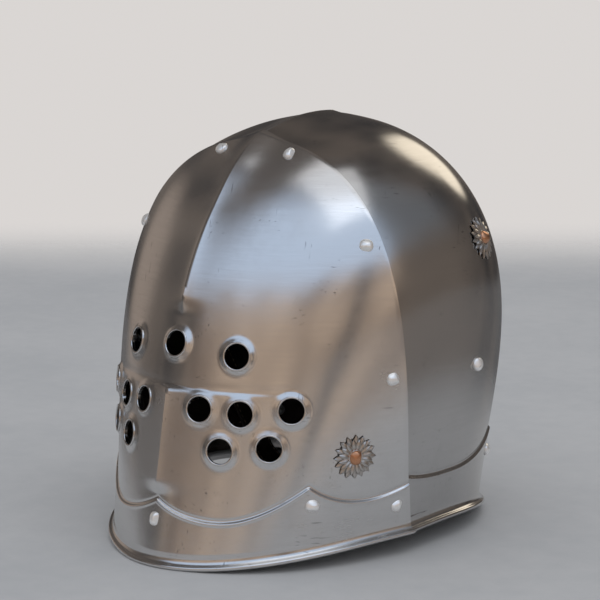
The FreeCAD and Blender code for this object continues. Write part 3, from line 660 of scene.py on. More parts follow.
def raise_lips(points, top):
    """Lift the sheet into a low cone with a flat crown round each breathing hole."""
    for spot, side in hole_places:
        axis = spot.axis * handed(side)
        away = points - (spot.point + spot.axis * top) * handed(side)
        r = np.linalg.norm(away - (away @ axis)[..., None] * axis, axis=-1)
        near = np.linalg.norm(away, axis=-1) < 16
        w = np.where(near, np.clip((CONE_R - r) / CONE_RUN, 0, 1), 0)
        w = w ** 1.4 * (1 - 0.15 * w)
        w = np.where(near & (r < CROWN_R), 1.0, w)
        points = points + (w * (CONE_RISE - away @ axis))[..., None] * axis
    return points


def rim_rows(u, offset):
    """Outer flare, beaded edge and inner flare below the crease, as (reach, height) rows."""
    edge = form(u, T_CREASE)
    edge[..., 2] = base(u, T_CREASE)[..., 2]
    out = normals(u, T_CREASE) * LEVEL
    out = unit(np.where(on_middle(u)[..., None], out * IN_MIDDLE, out))
    reach, inside = offset + FLARE_REACH, offset - SHEET
    s = np.linspace(0, 1, 6)[:, None]

    def curve(*pts):
        a, b, c, d = (np.array(p, float) for p in pts)
        return a * (1 - s) ** 3 + 3 * b * s * (1 - s) ** 2 + 3 * c * s * s * (1 - s) + d * s ** 3

    outer = curve((offset, FLARE_HEIGHT), (offset + 0.15, 5.4), (reach - 1.7, 4.1),
                  (reach - 0.25, 2 * BEAD - 0.02))
    inner = curve((reach - BEAD + 0.1, BEAD + 0.5), (reach - 2.6, 2.6), (inside + 0.2, 4.4),
                  (inside, FLARE_HEIGHT))
    turn = np.radians(np.linspace(96, -150, 15))[:, None]
    bead = np.concatenate([reach + BEAD * np.cos(turn), BEAD + BEAD * np.sin(turn)], 1)
    profile = np.concatenate([outer[:-1], bead, inner[1:]])
    rows = []
    for r, z in profile:
        row = edge + out * r
        row[..., 2] = edge[..., 2] - FLARE_HEIGHT + z
        rows.append(row)
    return rows


def bordered_rim(u, side, offset, table):
    """Rim rows, the first of which carry the border's relief down into the flare."""
    proud = border(u, form(u, T_CREASE)[..., 2], table)
    rim = [row * side for row in rim_rows(u, offset)]
    for k, row in enumerate(rim[:6]):
        out = unit((row - [0, SHIFT_Y, 0]) * LEVEL)
        rim[k] = row + out * (proud * max(0.0, 1 - k / 4))[:, None]
    return rim[1:-1]


def close_sheet(outer_rows, rim, inner_rows):
    """Join outer skin, rim and inner skin rows (top to bottom) into one closed strip."""
    rows = outer_rows[::-1] + rim + inner_rows
    cols = rows[0].shape[0]
    points = np.concatenate(rows)
    faces = grid_faces(len(rows), cols)
    total = len(rows)
    for j, turn in ((0, False), (cols - 1, True)):
        a, b = 0, total - 1
        while b - a > 1:
            quad = (a * cols + j, (a + 1) * cols + j, (b - 1) * cols + j, b * cols + j)
            if b - 1 == a + 1:
                quad = (a * cols + j, (a + 1) * cols + j, b * cols + j)
            faces.append(quad[::-1] if turn else quad)
            a, b = a + 1, b - 1
    return points, faces


def even_steps(count, last, u):
    """t values that are evenly spaced along the shell's profile."""
    t = np.linspace(T_CREASE, last, 800)
    p = form(u, t)
    run = run_along(p)
    return np.interp(np.linspace(0, run[-1], count), run, t)


def bore_holes(points, faces, radius):
    """Open round holes: drop the faces inside each and draw its ragged edge to the circle."""
    points = points.copy()
    centres = np.array([points[list(f)].mean(0) for f in faces])
    drop = np.zeros(len(faces), bool)
    for spot, side in hole_places:
        centre, axis = spot.point * handed(side), spot.axis * handed(side)
        away = centres - centre
        h = away @ axis
        r = np.linalg.norm(away - h[:, None] * axis, axis=1)
        inside = (r < radius) & (np.abs(h) < 12)
        ring = set()
        for i in np.nonzero(inside)[0]:
            ring.update(faces[i])
        edge = set()
        for i in np.nonzero((r < radius + 8) & (np.abs(h) < 12) & ~inside)[0]:
            edge.update(set(faces[i]) & ring)
        for v in edge:
            off = points[v] - centre
            flat = off - (off @ axis) * axis
            points[v] = centre + (off @ axis) * axis + flat * radius / np.linalg.norm(flat)
        drop |= inside
    return points, [f for f, gone in zip(faces, drop) if not gone]


def bridge_holes(faces, half):
    """Wall each hole between the outer and inner skins; half is the matching index shift."""
    count = {}
    for f in faces:
        for a, b in zip(f, f[1:] + f[:1]):
            count[(a, b)] = count.get((a, b), 0) + 1
    walls = []
    for (a, b) in count:
        if (b, a) not in count and a in half and b in half:
            walls.append((b, a, half[a], half[b]))
    return faces + walls


def face_plate():
    low, high = 0.3, 1.0
    for _ in range(50):
        mid = (low + high) / 2
        p = skin(0.0, mid, OUTER)
        if p[1] < seam_y(p[2]):
            low = mid
        else:
            high = mid
    rows_t = row_steps(FRONT_ROWS, low, 0.0, FRONT_EDGE_Z)
    s = np.linspace(-1, 1, FRONT_COLS)
    side = handed(np.where(s < 0, -1.0, 1.0))
    outer, inner = [], []

    def past_seam(end):
        p = form(end, follow(end, rows_t, SCALLOPS_FRONT, FRONT_EDGE_Z))
        return p[..., 1] - seam_y(p[..., 2])

    ends = solve(past_seam, 0, 1.2, rows_t.shape)
    ends[-1] = 0.0
    for row_t, end in zip(rows_t, ends):
        u = np.abs(s) * end
        t = follow(u, row_t, SCALLOPS_FRONT, FRONT_EDGE_Z)
        p = form(u, t)
        d = OUTER + face_relief(u, p[:, 2]) * (1 - ramp(np.abs(s), 0.985, 1.0) * 0.2)
        row = skin(u, t, d) * side
        row = row + unit(row - [0, SHIFT_Y, 120]) * (0.05 * uneven(row, 42.0, 5))[:, None]
        outer.append(raise_lips(row, OUTER))
        inner.append(raise_lips(skin(u, t, np.full_like(u, OUTER - SHEET)) * side, OUTER - SHEET))

    def crease_past_seam(u):
        p = form(u, T_CREASE)
        return p[..., 1] - seam_y(p[..., 2])

    u = np.abs(s) * float(solve(crease_past_seam, 0, 1.2))
    points, faces = close_sheet(outer, bordered_rim(u, side, OUTER, SCALLOPS_FRONT), inner)
    points, faces = bore_holes(points, faces, HOLE_R)
    cols = len(s)
    total = len(points) // cols
    half = {i * cols + j: (total - 1 - i) * cols + j for i in range(len(outer)) for j in range(cols)}
    return points, bridge_holes(faces, half)


def over_nape(first, s):
    """Places from one edge over the nape to the other, with the factors of their sides."""
    u = first + (2 - first) * s
    sign = np.concatenate([np.ones_like(u), -np.ones(len(u) - 1)])
    return np.concatenate([u, u[-2::-1]]), handed(sign)


def skull_plate():
    rows_t = row_steps(BACK_ROWS, 1.0, 2.0, BACK_EDGE_Z)

    def edge_u(shift):
        def past_seam(u):
            p = form(u, rows_t)
            return p[..., 1] - seam_y(p[..., 2]) - shift

        return np.where(past_seam(0.0) > 0, 0.0, solve(past_seam, 0, 1.3, rows_t.shape))

    tongue, seam = edge_u(-LAP), edge_u(0.4)
    z_edge = form(1.0, rows_t)[..., 2]
    start = np.where(z_edge < FLARE_HEIGHT + RIM_LIFT + 1.0, seam, tongue)
    s = np.linspace(0, 1, BACK_COLS)
    outer, inner = [], []
    for t, first in zip(rows_t, start):
        u, side = over_nape(first, s)
        t = follow(u, t, SCALLOPS_BACK, BACK_EDGE_Z)
        p = form(u, t)
        hidden = 1 - ramp(p[:, 1] - seam_y(p[:, 2]), -1.0, 0.0)
        row = skin(u, t, border(u, p[..., 2], SCALLOPS_BACK) * (1 - hidden)) * side
        wave = 0.06 * uneven(row, 46.0, 9) * (1 - hidden)
        outer.append(row + unit(row - [0, SHIFT_Y, 120]) * wave[:, None])
        inner.append(skin(u, t, np.full_like(u, -SHEET)) * side)
    u, side = over_nape(start[0], s)
    return close_sheet(outer, bordered_rim(u, side, 0.0, SCALLOPS_BACK), inner)


def weld(obj, distance):
    """Merge coinciding points and make every face look outward."""
    bm = bmesh.new()
    bm.from_mesh(obj.data)
    bmesh.ops.remove_doubles(bm, verts=bm.verts, dist=distance)
    bmesh.ops.recalc_face_normals(bm, faces=bm.faces)
    bm.to_mesh(obj.data)
    bm.free()
    for p in obj.data.polygons:
        p.use_smooth = True
    obj.data.set_sharp_from_angle(angle=math.radians(38))


points, faces = face_plate()
face = make("face_plate_sheet", points, faces, PLATE, stands_for=("face_plate",), slot="plate_steel")
weld(face, 2e-5)
points, faces = skull_plate()
skull = make("skull_plate_sheet", points, faces, SHADED_SKULL_STEEL, stands_for=("skull_plate",), slot="plate_steel")
weld(skull, 2e-5)

# Rolled lip round each breathing hole.
lips = Parts()
ring, tube = 48, 12
a = np.arange(ring) * 2 * math.pi / ring
b = np.arange(tube) * 2 * math.pi / tube
for spot, side in hole_places:
    rng = np.random.default_rng(int(spot.t * 1e6) + int(spot.u * 1e3))
    swell = 1 + 0.05 * np.sin(a * 2 + rng.uniform(0, 6)) + 0.03 * np.sin(a * 5 + rng.uniform(0, 6))
    r = LIP_R + LIP_WIDE * swell[:, None] * np.cos(b)[None]
    h = OUTER + LIP_Z + LIP_HIGH * swell[:, None] * np.sin(b)[None]
    local = np.stack([r * np.cos(a)[:, None], r * np.sin(a)[:, None], h], -1)
    faces = grid_faces(ring, tube, wrap=True) + ring_close(ring, tube)
    lips.add(spot.place(local, 0.0, follow=0.0) * handed(side), turned_over(faces, -side))
make("breathing_hole_lips", *lips.all(), PLATE, slot="plate_steel")


# ---------------------------------------------------------------------------
# Fasteners and rosettes
# ---------------------------------------------------------------------------
def level_u(y, level):
    return Spot(u_at(y, level), level)


seam_spots = [level_u(y, z) for y, z in SEAM_RIVETS]
front_spots = [Spot(u, z) for u, z in BORDER_FRONT]
back_spots = [Spot(u, z) for u, z in BORDER_BACK]
cheek, temple = Spot(*CHEEK_ROSETTE), Spot(*TEMPLE_ROSETTE)
EAR = np.array([117.92, 12.7 + SHIFT_Y, 0.425 * HEIGHT])


def dome(radius, rise, seed, sides=36, dent=0.05):
    """Hammer-set rivet head: a dome with a tucked skirt and slight flats."""
    profile = [(radius * 0.93, -0.9), (radius * 0.99, -0.35), (radius, 0.12)]
    for k in range(1, 11):
        a = math.radians(90 * k / 10)
        wide = radius * math.cos(a) ** 0.85 if k < 10 else radius * 0.04
        profile.append((wide, 0.12 + (rise - 0.12) * math.sin(a)))
    points, faces = turned(profile, sides)
    rng = np.random.default_rng(seed)
    points = points + unit(points) * (dent * uneven(points, radius * 1.2, seed))[:, None]
    for _ in range(4):
        way = unit(np.array([rng.normal(), rng.normal(), 1.6]))
        over = points @ way - (rise * 0.93 + rng.uniform(-0.05, 0.15))
        points = points - way * np.clip(over, 0, None)[:, None] * 0.6
    return points, faces


def tail(radius, rise, drop):
    """Shank and the domed foot it is spread into."""
    profile = [(SHANK_R, 0.0), (SHANK_R, -drop)]
    for a in np.radians((0, 20, 40, 60, 80)):
        profile.append((radius * math.cos(a), -drop - rise * math.sin(a)))
    return turned(profile[::-1], 20)


def rivets(name, places, radius, rise, metal, node, slot_name, only=None):
    """One group of rivets; places are (spot, seat height, grip depth, on both sides)."""
    heads = Parts()
    for k, (spot, seat, grip, paired) in enumerate(places):
        for side in ((1, -1) if paired else (1,)):
            if only and side != only:
                continue
            seed = 31 * k + 7 + (side > 0) * 101
            for points, faces in (dome(radius, rise, seed), tail(TAIL_R, TAIL_RISE, grip)):
                p = spot.place(points, seat + spot.reach(radius), follow=0.0) * handed(side)
                heads.add(p, turned_over(faces, side))
    return make(name, *heads.all(), metal, stands_for=(node,), slot=slot_name, crease=50)


SEAT = OUTER + 0.05
for side, word in ((1, "left"), (-1, "right")):
    places = [(s, SEAT, OUTER + SHEET + 1.3, True) for s in seam_spots]
    rivets("seam_rivet_heads_" + word, places, HEAD_R, HEAD_RISE, RIVET, "seam_rivets_" + word,
           "rivet_steel", only=side)
places = [(spot, SEAT + 0.9, OUTER + 4.0, paired) for spot, paired in zip(front_spots, (False, True))]
places += [(back_spots[0], 1.0, 5.6, True), (back_spots[1], 1.0, 5.6, False)]
rivets("border_rivet_heads", places, HEAD_R, HEAD_RISE, RIVET, "border_rivets", "rivet_steel")


def petal(tip, root, half, lift, fold, thick, turn):
    """One pointed petal with a raised mid rib, closed above and below."""
    s = np.linspace(0, 1, 13)
    c = np.linspace(-1, 1, 7)
    r = root + (tip - root) * s
    swelling = 0.45 + 0.55 * np.sin(s / 0.55 * math.pi / 2)
    pointed = np.cos((s - 0.55) / 0.45 * math.pi / 2) ** 0.8
    wide = np.maximum(half * np.where(s < 0.55, swelling, pointed), 0.06)
    rib = fold * (1 - np.abs(c)) ** 1.2
    a = r[:, None] + 0 * c[None]
    b = wide[:, None] * c[None]
    arch = lift * np.sin(s * math.pi * 0.8)[:, None]
    top = arch + rib[None] * (0.35 + 0.65 * np.sin(s * math.pi))[:, None] + thick
    low = top - thick - 0.35 * rib[None]
    x = a * math.cos(turn) - b * math.sin(turn)
    y = a * math.sin(turn) + b * math.cos(turn)
    points = [np.stack([x, y, h], -1).reshape(-1, 3) for h in (top, low)]
    return np.concatenate(points), layer_faces(len(s), len(c))


def rosette(name, spot, seat, side, node):
    """Two rows of sixteen petals round a flat hub, bent to the plate."""
    rng = np.random.default_rng(int(spot.u * 1000) + side)
    flower = Parts()
    for k in range(16):
        turn = 2 * math.pi * k / 16
        wobble = rng.uniform(-0.025, 0.025)
        tip = 14.0 + rng.uniform(-0.25, 0.1)
        flower.add(*petal(tip, 3.2, 2.05, 0.5, 0.75, 0.45, turn + wobble))
        tip = 11.6 + rng.uniform(-0.2, 0.2)
        flower.add(*petal(tip, 3.0, 1.75, 1.15, 0.8, 0.75, turn + math.pi / 16 + wobble))
    hub = [(5.4, 0.0), (5.6, 0.5), (5.3, 1.5), (4.6, 1.9), (1.9, 1.9), (1.9, 0.0)]
    flower.add(*turned(hub, 32))
    points, faces = flower.all()
    points = spot.place(points, seat) * handed(side)
    return make(name, points, turned_over(faces, side), ANTIQUE, stands_for=(node,), slot="dark_steel",
                crease=28)


for word, spot, seat in (("cheek", cheek, OUTER + 0.15), ("temple", temple, 0.15)):
    for side, hand in ((1, "left"), (-1, "right")):
        rosette(f"{word}_rosette_petals_{hand}", spot, seat, side, f"{word}_rosette_{hand}")
places = [(cheek, OUTER + 1.95, OUTER + 3.0, True), (temple, 1.95, 4.6, True)]
rivets("rosette_copper_domes", places, 4.5, 3.1, COPPER, "rosette_rivets", "copper")

for word, side in (("left", 1), ("right", -1)):
    both = Parts()
    for points, faces in (dome(HEAD_R, HEAD_RISE, 77 + side), tail(TAIL_R, TAIL_RISE, 8.4)):
        lying = np.stack([points[:, 2], points[:, 0], points[:, 1]], -1)
        both.add((lying + EAR + [0.2, 0, 0]) * handed(side), turned_over(faces, side))
    make("ear_rivet_" + word, *both.all(), RIVET, stands_for=("strap_rivet_" + word,), slot="rivet_steel",
         crease=50)


# ---------------------------------------------------------------------------
# Leather straps, buckle and lining
# ---------------------------------------------------------------------------
STRAP_W, STRAP_T, TILT = 18.0, 2.5, math.radians(16.0)
PIVOT = np.array([0.0, 12.7 + SHIFT_Y, 0.425 * HEIGHT])
WAY_DOWN = ((112.42, 9.0), (112.42, -9.9), (107.12, -24.2), (98.45, -49.5), (87.14, -85.8), (81.88, -108.75))
BENDS = (24.0, 60.0, 60.0, 60.0, 20.0)
BAR_X, BAR_Z = 47.5, -108.75
STITCH_PITCH, STITCH_Y = 4.2, 7.0
TONGUE_HOLES, TONGUE_START, TONGUE_PITCH = 5, 36.0, 11.0
FRAME_HALF_Y, FRAME_REACH, WIRE_R = 12.0, 19.0, 1.5


def hang(points):
    """Turn points drawn under the pivot back to the strap's resting tilt."""
    x, y, z = points[..., 0], points[..., 1], points[..., 2]
    c, s = math.cos(TILT), math.sin(TILT)
    return np.stack([x, y * c - z * s, y * s + z * c], -1) + PIVOT


def rounded_path(corners, radii, step):
    """Points and left-hand normals along straight runs joined by arcs."""
    corners = [np.array(c, float) for c in corners]
    points = [corners[0]]
    for k, radius in enumerate(radii):
        before, at, after = corners[k], corners[k + 1], corners[k + 2]
        w0, w1 = unit(at - before), unit(after - at)
        angle = math.acos(max(-1.0, min(1.0, float(w0 @ w1))))
        reach = radius * math.tan(angle / 2)
        side = 1 if w0[0] * w1[1] - w0[1] * w1[0] > 0 else -1
        a = at - w0 * reach
        centre = a + np.array([-w0[1], w0[0]]) * radius * side
        start = math.atan2(*(a - centre)[::-1])
        for q in np.linspace(0, angle, max(3, int(radius * angle / step) + 2)):
            q = start + side * q
            points.append(centre + radius * np.array([math.cos(q), math.sin(q)]))
    points.append(corners[-1])
    points = np.array(points)
    run = run_along(points)
    keep = np.concatenate([[True], np.diff(run) > 1e-6])
    even = np.linspace(0, run[-1], int(run[-1] / step) + 1)
    path = np.stack([np.interp(even, run[keep], points[keep][:, i]) for i in (0, 1)], 1)
    way = unit(np.gradient(path, axis=0))
    return path, np.stack([-way[:, 1], way[:, 0]], 1), even


def strip(path, normal, half_width, thick, edge, seed, wave=0.05):
    """Leather strip with softly rounded edges; half_width gives one value for each row."""
    right = []
    for a in np.radians(np.linspace(-90, 90, 7)):
        right.append((1.0, math.cos(a) * edge - edge, math.sin(a) * thick / 2))
    across = (0.75, 0.45, 0.15, -0.15, -0.45, -0.75)
    left = [(-1.0, -e, z) for _, e, z in right[::-1]]
    top, low = ([(sign * k, 0.0, sign * thick / 2) for k in across] for sign in (1, -1))
    section = right + top + left + low
    rows = []
    for (x, z), (nx, nz), half in zip(path, normal, half_width):
        rows.append([(x + nx * h, k * half + e, z + nz * h) for k, e, h in section])
    points = np.array(rows)
    points = points + wave * uneven(points, 14.0, seed)[..., None] * np.array([0.4, 0.0, 0.4])
    n, m = len(rows), len(section)
    return points.reshape(-1, 3), grid_faces(n, m, wrap=True) + end_caps(n, m)


def stitches(path, normal, even, start, end, across, height):
    """Row of waxed stitches standing on one face of a strip."""
    row = Parts()
    for at in np.arange(start, end, STITCH_PITCH):
        ends = [np.interp(at + d, even, path[:, i]) for d in (0.0, 2.9) for i in (0, 1)]
        first, last = np.array(ends).reshape(2, 2)
        out = unit(np.array([np.interp(at + 1.4, even, normal[:, i]) for i in (0, 1)]))
        rings = []
        for along, size in ((0.0, 0.12), (0.12, 0.32), (0.5, 0.4), (0.88, 0.32), (1.0, 0.12)):
            x, z = first + (last - first) * along
            lift = height + 0.16 * math.sin(along * math.pi)
            for a in np.arange(8) * math.pi / 4:
                stand = lift + size * math.sin(a)
                rings.append((x + out[0] * stand, across + size * math.cos(a), z + out[1] * stand))
        row.add(np.array(rings), grid_faces(5, 8, wrap=True) + end_caps(5, 8))
    return row


def tube_ring(corners, radius, bend, sides=14):
    """Closed round-wire loop through corners with rounded bends; corners are 3-D points."""
    corners = [np.array(c, float) for c in corners]
    line = []
    for k, at in enumerate(corners):
        before, after = corners[k - 1], corners[(k + 1) % len(corners)]
        a, b = at + unit(before - at) * bend, at + unit(after - at) * bend
        for q in np.linspace(0, 1, 7):
            line.append(a * (1 - q) ** 2 + 2 * at * q * (1 - q) + b * q * q)
    line = np.array(line)
    way = unit(np.roll(line, -1, 0) - np.roll(line, 1, 0))
    up = unit(np.cross(corners[1] - corners[0], corners[2] - corners[1]))
    out = unit(np.cross(way, up))
    a = np.arange(sides) * 2 * math.pi / sides
    round_it = np.cos(a)[None, :, None] * out[:, None] + np.sin(a)[None, :, None] * up
    points = line[:, None] + radius * round_it
    return points.reshape(-1, 3), grid_faces(len(line), sides, wrap=True) + ring_close(len(line), sides)


def put(name, parts, metal, body, node, slot_name, mirror=False, crease=45):
    points, faces = parts.all() if isinstance(parts, Parts) else parts
    points = hang(points)
    if mirror:
        points = points * MIRROR
    obj = make(name, points, faces, metal, body, (node,) if node else (), slot_name, crease)
    weld(obj, 1e-6)
    return obj


def strap(end, seed, tongue):
    """Strap from its rounded top down the cheek; the tongue's end is cut to a point."""
    path, normal, even = rounded_path([*WAY_DOWN, (end, WAY_DOWN[-1][1])], BENDS, 1.6)
    half = np.full(len(path), STRAP_W / 2)
    top = np.clip(even, 0, 9.0)
    half = np.minimum(half, np.sqrt(np.maximum(81.0 - (9.0 - top) ** 2, 2.0)))
    if tongue:
        left = np.clip(even[-1] - even, 0, 14.0)
        half = np.minimum(half, 1.5 + 7.5 * (left / 14.0) ** 0.8)
    return path, normal, even, strip(path, normal, half, STRAP_T, 0.8, seed)


for word, end, mirror in (("left", BAR_X + 7.0, False), ("right", 16.0, True)):
    path, normal, even, strap_piece = strap(end, 41 + mirror, mirror)
    leather_part = Parts()
    leather_part.add(*strap_piece)
    if not mirror:
        # Two narrow lanes fold round the buckle's bar, with the slot for the prong between them.
        fold = [(73.0, BAR_Z + STRAP_T), (60.0, BAR_Z + STRAP_T), (50.2, BAR_Z + STRAP_T + 0.3)]
        turn = np.radians(np.linspace(80, 262, 12))
        fold += [(BAR_X + 2.85 * math.cos(q), BAR_Z + 2.85 * math.sin(q)) for q in turn]
        fold += [(BAR_X + 2.4, BAR_Z - 1.7), (BAR_X + 5.0, BAR_Z - 0.4), (BAR_X + 8.0, BAR_Z)]
        line = np.array(fold)
        way = unit(np.gradient(line, axis=0))
        out = np.stack([-way[:, 1], way[:, 0]], 1)
        for lane in (-5.75, 5.75):
            piece, piece_faces = strip(line, out, np.full(len(line), 3.2), 2.3, 0.6, 45)
            leather_part.add(piece + np.array([0.0, lane, 0.0]), piece_faces)
    body = "strap_" + word
    put("chin_strap_leather_" + word, leather_part, HIDE, body, "chin_" + body, "leather", mirror)
    thread = Parts()
    last = even[-1] - (22.0 if mirror else 8.0)
    for across in (-STITCH_Y, STITCH_Y):
        for face_side in (1, -1):
            row = stitches(path, normal * face_side, even, 12.0, last, across, STRAP_T / 2)
            thread.add(*row.all())
    put("chin_strap_stitching_" + word, thread, THREAD, body, None, "leather", mirror)

# Dark discs with a turned-in rim sit on the tongue where its punched holes are: painted shade in place of
# open holes.
hole_shade_discs = Parts()
for k in range(TONGUE_HOLES):
    for face_side in (1, -1):
        p, f = turned([(2.5, 0.0), (2.45, 0.22), (1.95, 0.3), (1.75, 0.12), (1.7, 0.02)], 24)
        centre = np.array([TONGUE_START + TONGUE_PITCH * k, 0.0, BAR_Z + face_side * STRAP_T / 2])
        hole_shade_discs.add(p * np.array([1.0, 1.0, face_side]) + centre, turned_over(f, face_side))
put("tongue_hole_shade_discs", hole_shade_discs, HOLE_SHADE_HIDE, "strap_right", None, "leather", True)

# Keeper: a folded leather band.
keeper = Parts()
loop = [(-10.4, -2.3), (10.4, -2.3), (10.4, 7.0), (-10.4, 7.0)]
corner = [(0.9, 0.9), (-0.9, 0.9), (-0.9, -0.9), (0.9, -0.9)]
outline = []
for (y, z), (dy, dz) in zip(loop, corner):
    for q in (0.0, 0.33, 0.67, 1.0):
        a, b = 1 - math.sin(q * math.pi / 2), 1 - math.cos(q * math.pi / 2)
        if dy * dz < 0:
            a, b = b, a
        outline.append((y + dy * a, z + dz * b))
rows = []
for y, z in outline:
    out = unit(np.array([y, z - 2.35]) * np.array([1.0, 2.0]))
    for x, grow in ((0.5, -0.1), (0.9, 0.35), (6.1, 0.35), (6.5, -0.1), (6.1, -1.1), (0.9, -1.1)):
        rows.append((66.5 + x, y + out[0] * grow, BAR_Z + z + out[1] * grow))
keeper.add(np.array(rows), grid_faces(len(outline), 6, wrap=True) + ring_close(len(outline), 6))
put("keeper_band", keeper, HIDE, "strap_left", "strap_keeper", "leather")

# Buckle frame of round wire and its prong, hammered a little flat.
near, far = BAR_X, BAR_X - FRAME_REACH
corners = [(near, -FRAME_HALF_Y, BAR_Z), (near, FRAME_HALF_Y, BAR_Z), (far, FRAME_HALF_Y, BAR_Z),
           (far, -FRAME_HALF_Y, BAR_Z)]
points, faces = tube_ring(corners, WIRE_R, 2.6)
points = points + 0.05 * uneven(points, 6.0, 3)[:, None]
put("buckle_wire", (points, faces), BUCKLE, "buckle", "buckle_frame", "buckle_steel")
prong = Parts()
eye, eye_faces = turned([(1.6, -1.6), (2.7, -1.6), (3.0, -1.2), (3.0, 1.2), (2.7, 1.6), (1.6, 1.6)], 28)
prong.add(np.stack([eye[:, 0] + BAR_X, eye[:, 2], eye[:, 1] + BAR_Z], -1), [f[::-1] for f in eye_faces])
rows = []
for x, wide, low, high in ((0.5, 1.6, 1.7, 3.0), (-2.0, 1.6, 1.75, 3.7), (-10.0, 1.5, 1.75, 3.75),
                           (-17.0, 1.2, 1.75, 3.55), (-20.2, 0.85, 1.75, 3.2), (-21.0, 0.35, 2.1, 2.8)):
    middle, half = (low + high) / 2, (high - low) / 2
    for a in np.arange(12) * math.pi / 6:
        c, d = (math.copysign(abs(v) ** 0.6, v) for v in (math.cos(a), math.sin(a)))
        rows.append((BAR_X + x, wide * c, BAR_Z + middle + half * d))
prong.add(np.array(rows), grid_faces(6, 12, wrap=True) + end_caps(6, 12))
put("buckle_tongue", prong, BUCKLE, "prong", "buckle_prong", "buckle_steel")
loop_rivet = Parts()
for p, f in (dome(3.5, 1.3, 91, 28), tail(TAIL_R, 0.9, 5.1)):
    loop_rivet.add(p + np.array([61.0, 0.0, BAR_Z + 3.8]), f)
put("loop_rivet", loop_rivet, COPPER, "strap_left", "strap_loop_rivet", "copper")


def lining_band(name, around, levels, out, node):
    """Leather band with rounded edges and a line of stitches along each edge."""
    outer, inner = [], []
    u, side = around[0], handed(around[1])

    def layer(t, offset):
        return skin(u, t, np.zeros(len(u)) + offset) * side

    for r in np.linspace(0, 1, 13):
        t = levels[0] + (levels[1] - levels[0]) * r
        tuck = 0.55 * abs(2 * r - 1) ** 8
        wave = 0.06 * uneven(layer(t, out), 30.0, 61)
        outer.append(layer(t, out - 0.08 - tuck))
        inner.append(layer(t, out - 2.0 + tuck + wave + 0.1))
    points, faces = np.concatenate(outer + inner), layer_faces(len(outer), len(u))
    weld(make(name, points, faces, HIDE, "helmet", (node,), "leather", 60), 1e-6)
    thread = Parts()
    for r in (0.14, 0.86):
        t = levels[0] + (levels[1] - levels[0]) * r
        line = layer(t, out - 2.0)
        inward = unit(layer(t, out - 3.0) - line)
        run = run_along(line)
        for at in np.arange(6.0, run[-1] - 8.0, 4.6):
            a, b = (np.array([np.interp(at + d, run, line[:, i]) for i in range(3)]) for d in (0.0, 3.1))
            n = unit(np.array([np.interp(at + 1.5, run, inward[:, i]) for i in range(3)]))
            across = unit(np.cross(b - a, n))
            ring = []
            for along, size in ((0.0, 0.15), (0.15, 0.38), (0.5, 0.45), (0.85, 0.38), (1.0, 0.15)):
                for q in np.arange(6) * math.pi / 3:
                    round_it = across * size * math.cos(q) + n * (size * math.sin(q) + 0.1)
                    ring.append(a + (b - a) * along + round_it)
            thread.add(np.array(ring), grid_faces(5, 6, wrap=True) + end_caps(5, 6))
    points, faces = thread.all()
    weld(make(name + "_stitching", points, faces, THREAD, "helmet", (), "leather", 60), 1e-6)


front_u = np.linspace(-0.72, 0.72, 121)
lining_band("front_lining_leather", (np.abs(front_u), np.where(front_u < 0, -1.0, 1.0)),
            [t_at(0.0, z) for z in (0.075, 0.145)], 0.0, "lining_band_front")
back_u = np.linspace(0.9, 3.1, 161)
past_nape = back_u > 2
lining_band("rear_lining_leather", (np.where(past_nape, 4 - back_u, back_u), np.where(past_nape, -1.0, 1.0)),
            [t_at(2.0, z) for z in (0.09, 0.215)], -SHEET - LAP_GAP, "lining_band_rear")

# Quilted cap: linen over wadding, sewn in gores and rings.
CAP_EDGE = ((-200, 0.61), (-150, 0.62), (-100, 0.61), (-50, 0.57), (0, 0.52), (35, 0.47), (58, 0.38),
            (72, 0.285), (95, 0.256), (160, 0.25))
CAP_COLS = 240
CAP_MIDDLE = -SHEET - 0.25 - 5.75


def cap_start(u):
    """Where the cap's edge runs, as t for each u."""
    def above(t):
        p = base(u, t)
        ys, zs = zip(*CAP_EDGE)
        edge = np.interp(p[..., 1] - SHIFT_Y, ys, [z * HEIGHT for z in zs])
        return p[..., 2] - edge - 1.5

    return solve(above, 0.05, 0.9, u.shape)


cap_u = np.linspace(0, 4, CAP_COLS + 1)[:-1]
fold_u = np.where(cap_u > 2, 4 - cap_u, cap_u)
side = handed(np.where(cap_u > 2, -1.0, 1.0))
start_t = cap_start(fold_u)
gore = np.abs(np.sin(cap_u / 4 * math.pi * 16 + math.pi / 2)) ** 0.45
outer, inner = [], []


def cap_layer(t, offset):
    return skin(fold_u, t, np.zeros(CAP_COLS) + offset, False) * side


for r in np.concatenate([[0.0, 0.006, 0.016, 0.03], np.linspace(0.05, 0.985, 62)]):
    t = start_t + (1 - start_t) * r
    ring = abs(math.sin(math.pi * 5 * r ** 0.9)) ** 0.4 if r > 0.02 else 1.0
    puff = gore * ring * (1 - ramp(r, 0.86, 0.97)) + 0.75 * ramp(r, 0.86, 0.97)
    roll = math.sqrt(max(0.0, 1 - (1 - min(r / 0.03, 1.0)) ** 2))
    wave = 0.25 * uneven(cap_layer(t, CAP_MIDDLE), 26.0, 77)
    outer.append(cap_layer(t, CAP_MIDDLE + 5.1 * roll))
    inner.append(cap_layer(t, CAP_MIDDLE - (3.6 + 2.0 * puff + wave) * roll))
rows = len(outer)
under = rows * CAP_COLS
faces = grid_faces(rows, CAP_COLS, wrap=True) + grid_faces(rows, CAP_COLS, under, wrap=True, turn=True)
for j in range(CAP_COLS):
    k = (j + 1) % CAP_COLS
    faces.append((k, j, under + j, under + k))
faces.append(tuple(under - CAP_COLS + j for j in range(CAP_COLS)))
faces.append(tuple(2 * under - CAP_COLS + j for j in range(CAP_COLS))[::-1])
quilt = make("quilted_cap", np.concatenate(outer + inner), faces, PADDING, "helmet", ("padded_liner",),
             "liner_fabric", 70)
weld(quilt, 1e-6)

